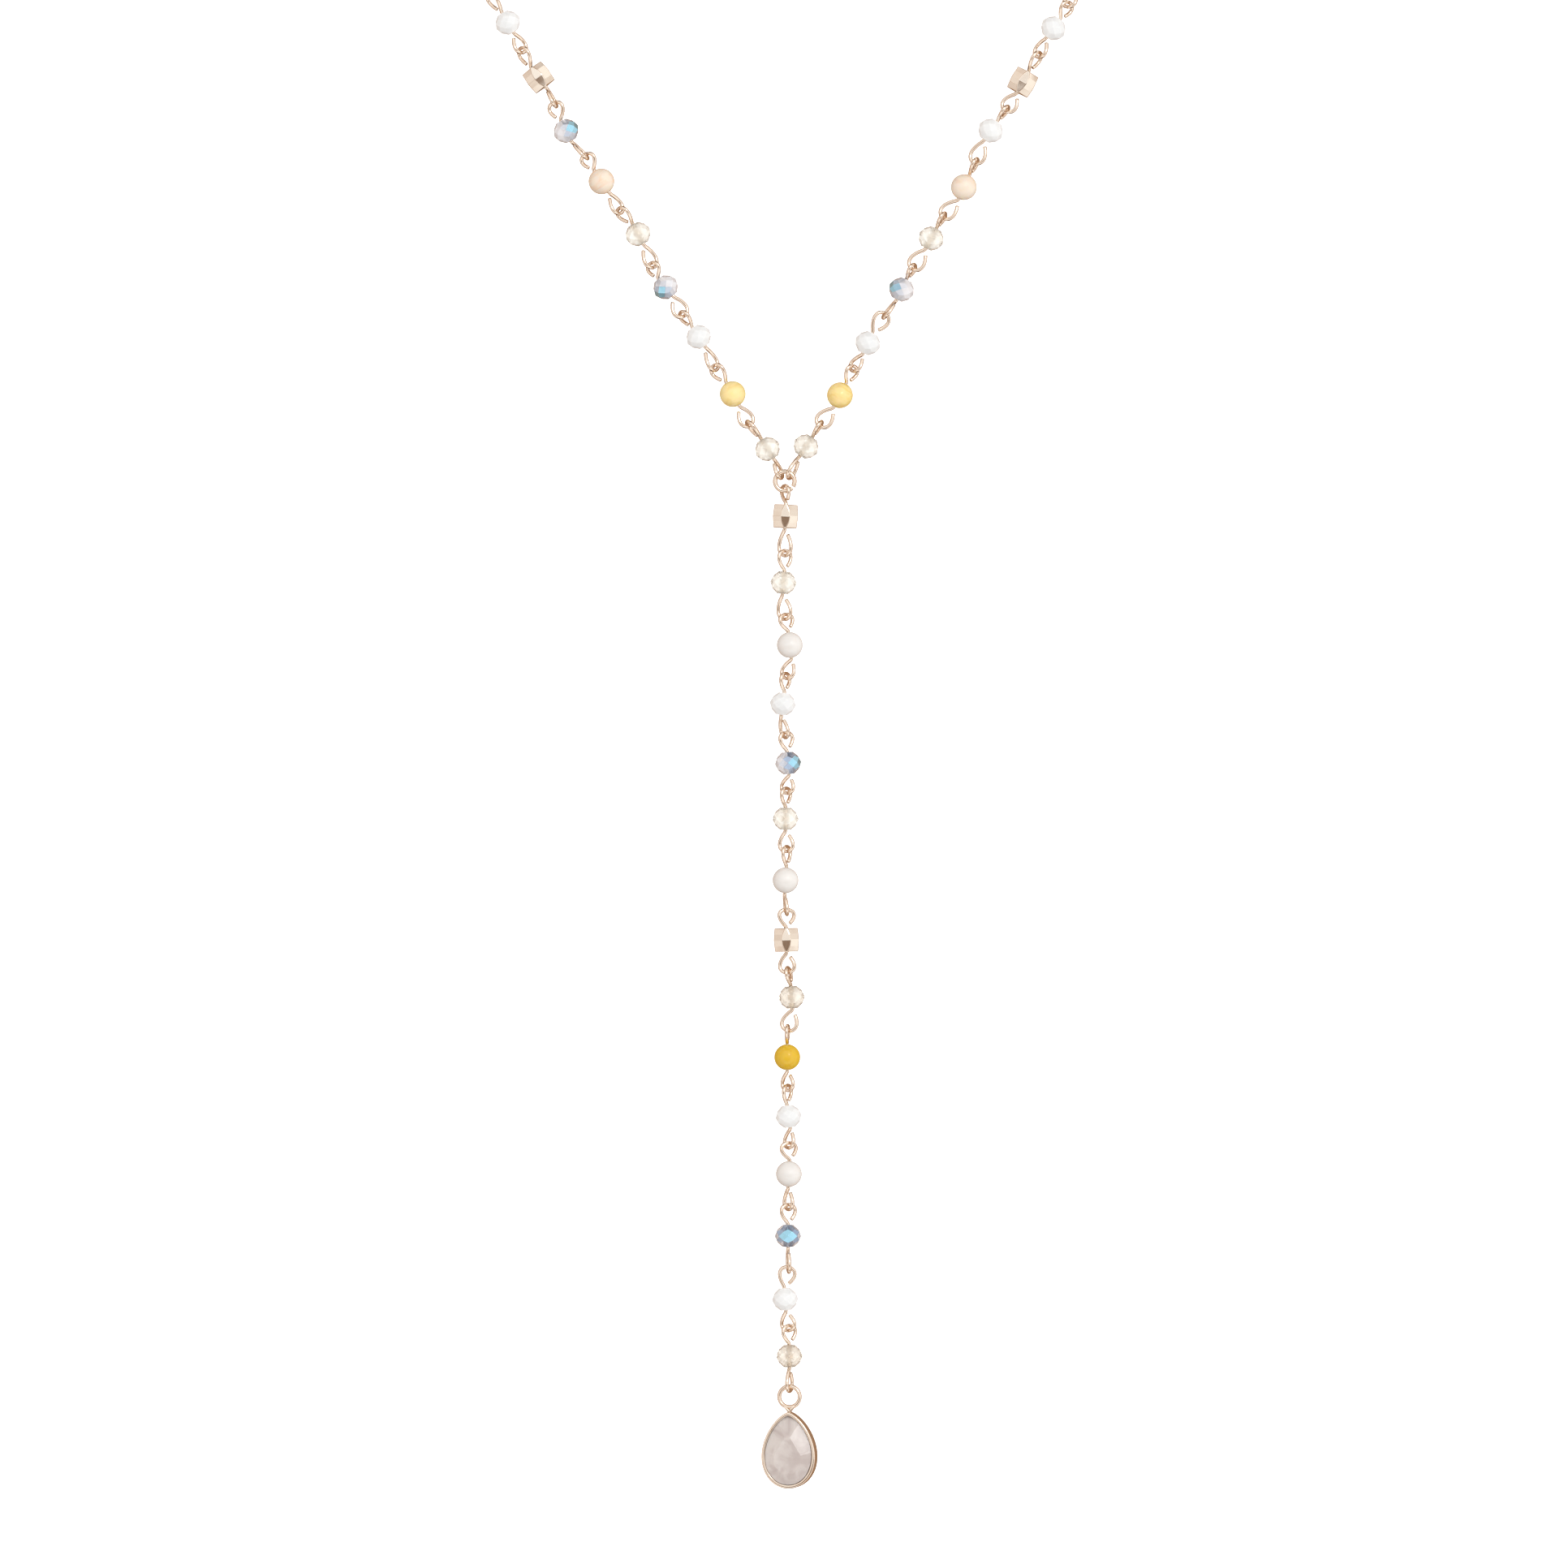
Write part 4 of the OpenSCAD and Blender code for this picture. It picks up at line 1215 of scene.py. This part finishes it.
class NECKLACE_OT_visible_beads(bpy.types.Operator):
    """Cut, round and drill the beads in view, each on its pin"""

    bl_idname = "necklace.visible_beads"
    bl_label = "Visible beads"

    def execute(self, context):
        hang = hanging(context)
        seed = 0
        for run in ("left", "right", "drop"):
            for number, (row, place) in enumerate(hang.seen(run), 1):
                seed += 1
                key = f"{run}_{number}"
                bm = placed_bead(hang.sizes, row, place, seed, COATS.get(key, PLAIN_COAT))
                name = f"{key}_{row.kind}"
                material = bead_finish(context, row.kind, key)
                slot = SLOTS.get(row.kind, row.kind)
                add_piece(plain_mesh(bm, name), name, NECKLACE, slot, material, f"bead_{key}")
        return {"FINISHED"}


class NECKLACE_OT_hidden_beads(bpy.types.Operator):
    """Cut, round and drill the beads behind the neck, one piece for each kind"""

    bl_idname = "necklace.hidden_beads"
    bl_label = "Beads behind the neck"

    def execute(self, context):
        hang = hanging(context)
        for kind in HIDDEN_KINDS:
            name = f"back_{kind}"
            joined = bmesh.new()
            pins = hang.hidden("left") + hang.hidden("right")
            for seed, (row, place) in enumerate(pins, FIRST_HIDDEN_SEED):
                if row.kind == kind:
                    bm = placed_bead(hang.sizes, row, place, seed, PLAIN_COAT)
                    part = plain_mesh(bm, name)
                    joined.from_mesh(part)
                    bpy.data.meshes.remove(part)
            mesh = plain_mesh(joined, name)
            slot = SLOTS.get(kind, kind)
            material = bead_finish(context, kind, name)
            add_piece(mesh, name, NECKLACE, slot, material, f"beads_back_{kind}")
        return {"FINISHED"}


JOIN_ANGLE = math.radians(-38)


class NECKLACE_OT_junction(bpy.types.Operator):
    """Bend the open jump ring where the strands and the drop meet"""

    bl_idname = "necklace.junction"
    bl_label = "Junction ring"

    def execute(self, context):
        hang = hanging(context)
        wire, cut = hang.sizes.junction_wire, hang.sizes.junction_cut
        place = Matrix.Translation(hang.junction)
        bm = bmesh.new()
        torus(bm, hang.junction_r, wire, place, start=JOIN_ANGLE + cut / 2, angle=math.tau - cut)
        mesh = mesh_from(bm, "jump_ring", True)
        add_piece(mesh, "jump_ring", NECKLACE, "rose_gold", metal(context), "junction_ring")
        return {"FINISHED"}


class NECKLACE_OT_setting(bpy.types.Operator):
    """Fold the pendant's pear setting and solder its ring on"""

    bl_idname = "necklace.setting"
    bl_label = "Pendant setting"

    def execute(self, context):
        mesh = setting_mesh(PendantPlan(context))
        add_piece(mesh, "setting", PENDANT, "rose_gold", metal(context), "pendant_setting")
        return {"FINISHED"}


class NECKLACE_OT_stone(bpy.types.Operator):
    """Cut the pendant's pear stone"""

    bl_idname = "necklace.stone"
    bl_label = "Pendant stone"

    def execute(self, context):
        mesh = stone_mesh(PendantPlan(context))
        material = cloudy_quartz("quartz_finish", context.scene.necklace_colours)
        add_piece(mesh, "stone", PENDANT, "quartz", material, "pendant_stone")
        return {"FINISHED"}


CLASP_STEPS = 48

# Half outline of the clasp's barrel from its middle: shares of its half length and radius
BARREL_OUTLINE = [
    (0, 0.93),
    (0.03, 0.93),
    (0.05, 1.0),
    (0.60, 1.0),
    (0.63, 0.95),
    (0.68, 0.95),
    (0.71, 1.0),
    (0.86, 1.0),
    (0.94, 0.92),
    (1.0, 0.72),
    (1.0, 0.0),
]


class NECKLACE_OT_clasp(bpy.types.Operator):
    """Turn the barrel clasp at the nape and the rings at its ends"""

    bl_idname = "necklace.clasp"
    bl_label = "Clasp"

    def execute(self, context):
        hang = hanging(context)
        sizes = hang.sizes
        half, radius = sizes.barrel_length / 2, sizes.barrel_width / 2
        right = [(x * half, 0, r * radius) for x, r in BARREL_OUTLINE]
        outline = [(-x, y, z) for x, y, z in reversed(right[1:])] + right
        bm = bmesh.new()
        lathed(bm, outline, CLASP_STEPS, axis=(1, 0, 0))
        bmesh.ops.remove_doubles(bm, verts=bm.verts, dist=SAME_PLACE)
        tag_all(bm)
        flat = Matrix.Rotation(math.pi / 2, 4, "X")
        for side in (-1, 1):
            place = Matrix.Translation((side * hang.clasp_x, 0, 0)) @ flat
            torus(bm, hang.clasp_r, sizes.clasp_wire, place, steps=CLASP_STEPS)
        mesh = mesh_from(bm, "barrel_clasp", True)
        add_piece(mesh, "barrel_clasp", NECKLACE, "rose_gold", metal(context), "clasp")
        return {"FINISHED"}


# --- The studio ---------------------------------------------------------------------------

SENSOR = 0.036
FRONT_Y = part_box("junction_ring")[0].lerp(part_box("junction_ring")[1], 0.5).y
PICTURE_X = -0.000125
PICTURE_Z = -0.167762

# Soft lights, placed from the picture's middle
Lamp = namedtuple("Lamp", "offset width height colour mirrored_too")
LAMPS = {
    "key": Lamp((1.15, -1.45, 0.25), 1.0, 1.3, (0.95, 0.98, 1.0), False),
    "side": Lamp((1.7, 0.5, 0.1), 0.5, 1.6, (0.95, 0.98, 1.0), False),
    "fill": Lamp((-1.5, -1.0, 0.5), 1.0, 1.2, (1, 1, 1), False),
    "glint": Lamp((0.57, -1.67, 0.71), 0.5, 0.4, (1, 1, 1), True),
}

# Light round the necklace, from the camera's side to the far side, and its darker parts
AROUND = [
    (0.0, (0.95, 0.93, 0.91)),
    (0.26, (1.20, 1.17, 1.13)),
    (0.36, (0.42, 0.24, 0.13)),
    (0.46, (1.03, 1.00, 0.96)),
    (0.56, (1.03, 0.99, 0.95)),
    (0.62, (0.40, 0.22, 0.12)),
    (1.0, (0.34, 0.21, 0.13)),
]
PATCHES = (0.36, 0.24, 0.17)
LEFT = (0.52, 0.38, 0.30)
POLES = (0.10, 0.06, 0.04)
BEHIND_CAMERA = (0.26, 0.18, 0.13)

WHITE = (1, 1, 1)
ALMOST_WHITE = (0.998, 0.998, 0.998)
CLIP_END = 100
BEND_STEPS = 8
BEND_SHARE = 0.3
WALL_STEPS = 64


def soft_light(name, lamp, aim, power):
    light = bpy.data.lights.new(name, "AREA")
    light.shape = "RECTANGLE"
    light.size, light.size_y = lamp.width, lamp.height
    light.energy = power
    light.color = lamp.colour
    made = bpy.data.objects.new(name, light)
    made.location = aim + Vector(lamp.offset)
    made.rotation_euler = (-Vector(lamp.offset)).to_track_quat("-Z", "Y").to_euler()
    made.visible_camera = False
    made.visible_glossy = lamp.mirrored_too
    bpy.context.scene.collection.objects.link(made)


class NECKLACE_OT_studio(bpy.types.Operator):
    """Set up the camera, the white room and the soft lights"""

    bl_idname = "necklace.studio"
    bl_label = "Studio"

    def execute(self, context):
        studio = context.scene.necklace_studio
        aim = Vector((PICTURE_X, FRONT_Y, PICTURE_Z))
        self.camera(context, studio, aim)
        self.room(studio)
        self.world(context)
        for name, lamp in LAMPS.items():
            soft_light(name, lamp, aim, getattr(studio, name))
        context.scene.view_settings.view_transform = "Standard"
        return {"FINISHED"}

    @staticmethod
    def camera(context, studio, aim):
        data = bpy.data.cameras.new("camera")
        data.sensor_width = SENSOR * 1000
        data.lens = data.sensor_width * studio.distance / studio.framed
        data.clip_end = CLIP_END
        camera = bpy.data.objects.new("camera", data)
        camera.location = aim - Vector((0, studio.distance, 0))
        camera.rotation_euler = (math.pi / 2, 0, 0)
        context.scene.collection.objects.link(camera)
        context.scene.camera = camera

    @staticmethod
    def room(studio):
        """A pale floor that curves up into round walls and a ceiling."""
        floor, room = -studio.floor_drop, studio.room
        bend = room * BEND_SHARE
        flat = room - bend
        outline = [(0, 0, floor), (flat, 0, floor)]
        for i in range(1, BEND_STEPS + 1):
            a = math.pi / 2 * i / BEND_STEPS
            outline.append((flat + bend * math.sin(a), 0, floor + bend * (1 - math.cos(a))))
        outline += [(room, 0, flat), (flat, 0, room), (0, 0, room)]
        bm = bmesh.new()
        lathed(bm, outline, WALL_STEPS)
        mesh = mesh_from(bm, "floor_and_walls", True)
        finish = Finish(bpy.data.materials.new("white_paint"))
        grain = finish.clouds(finish.position(), 3)
        paint = finish.blend(grain, WHITE, ALMOST_WHITE)
        mesh.materials.append(
            finish.surface(
                Base_Color=(0.9, 0.9, 0.9, 1),
                Roughness=0.9,
                Emission_Color=paint,
                Emission_Strength=1.0,
            )
        )
        walls = bpy.data.objects.new("floor_and_walls", mesh)
        bpy.context.scene.collection.objects.link(walls)
        walls.visible_diffuse = False
        walls.visible_glossy = False
        walls.visible_shadow = False

    @staticmethod
    def world(context):
        """A pale room with warm patches, dark above, below and behind the camera."""
        world = bpy.data.worlds.new("studio")
        finish = Finish(world)
        direction = finish.add("ShaderNodeTexCoord", output="Generated")
        depth = finish.part(direction, "Y")
        light = finish.add("ShaderNodeValToRGB", {"stops": AROUND}, {0: depth * 0.5 + 0.5})
        patches = finish.between(finish.clouds(direction, 2.4, detail=1), 0.54, 0.62) * 0.25
        height = finish.part(direction, "Z")
        poles = finish.between(height.size(), 0.88, 0.97)
        behind = finish.between(depth * -1, 0.78, 0.90) * finish.between(height * -1, 0.04, 0.10)
        left = finish.between(finish.part(direction, "X") * -1, 0.2, 0.8) * 0.35
        light = finish.blend(patches, light, PATCHES)
        light = finish.blend(left, light, LEFT)
        light = finish.blend(poles, light, POLES)
        light = finish.blend(behind, light, BEHIND_CAMERA)
        shader = finish.add("ShaderNodeBackground", inputs={"Color": light, "Strength": 1.0})
        finish.add_output("ShaderNodeOutputWorld", shader)
        context.scene.world = world


STEPS = (
    NECKLACE_OT_wire_pins,
    NECKLACE_OT_visible_beads,
    NECKLACE_OT_hidden_beads,
    NECKLACE_OT_junction,
    NECKLACE_OT_setting,
    NECKLACE_OT_stone,
    NECKLACE_OT_clasp,
    NECKLACE_OT_studio,
)


class NECKLACE_PT_panel(bpy.types.Panel):
    """Lists the necklace's steps and sizes"""

    bl_label = "Lariat necklace"
    bl_idname = "NECKLACE_PT_panel"
    bl_space_type = "VIEW_3D"
    bl_region_type = "UI"
    bl_category = "Necklace"

    def draw(self, context):
        for step in STEPS:
            self.layout.operator(step.bl_idname)
        for name in GROUPS:
            box = self.layout.box()
            group = getattr(context.scene, name)
            for key in group.bl_rna.properties.keys():
                if key not in ("rna_type", "name"):
                    box.prop(group, key)


GROUPS = {
    "necklace_sizes": NecklaceSizes,
    "necklace_pendant": PendantSizes,
    "necklace_colours": NecklaceColours,
    "necklace_studio": StudioSettings,
}


def register():
    for group in GROUPS.values():
        bpy.utils.register_class(group)
    for step in (*STEPS, NECKLACE_PT_panel):
        bpy.utils.register_class(step)
    for name, group in GROUPS.items():
        setattr(bpy.types.Scene, name, PointerProperty(type=group))


def unregister():
    for name in GROUPS:
        delattr(bpy.types.Scene, name)
    for step in (NECKLACE_PT_panel, *STEPS):
        bpy.utils.unregister_class(step)
    for group in GROUPS.values():
        bpy.utils.unregister_class(group)


def main():
    register()
    for step in STEPS:
        group, name = step.bl_idname.split(".")
        getattr(getattr(bpy.ops, group), name)()


if __name__ == "__main__":
    main()
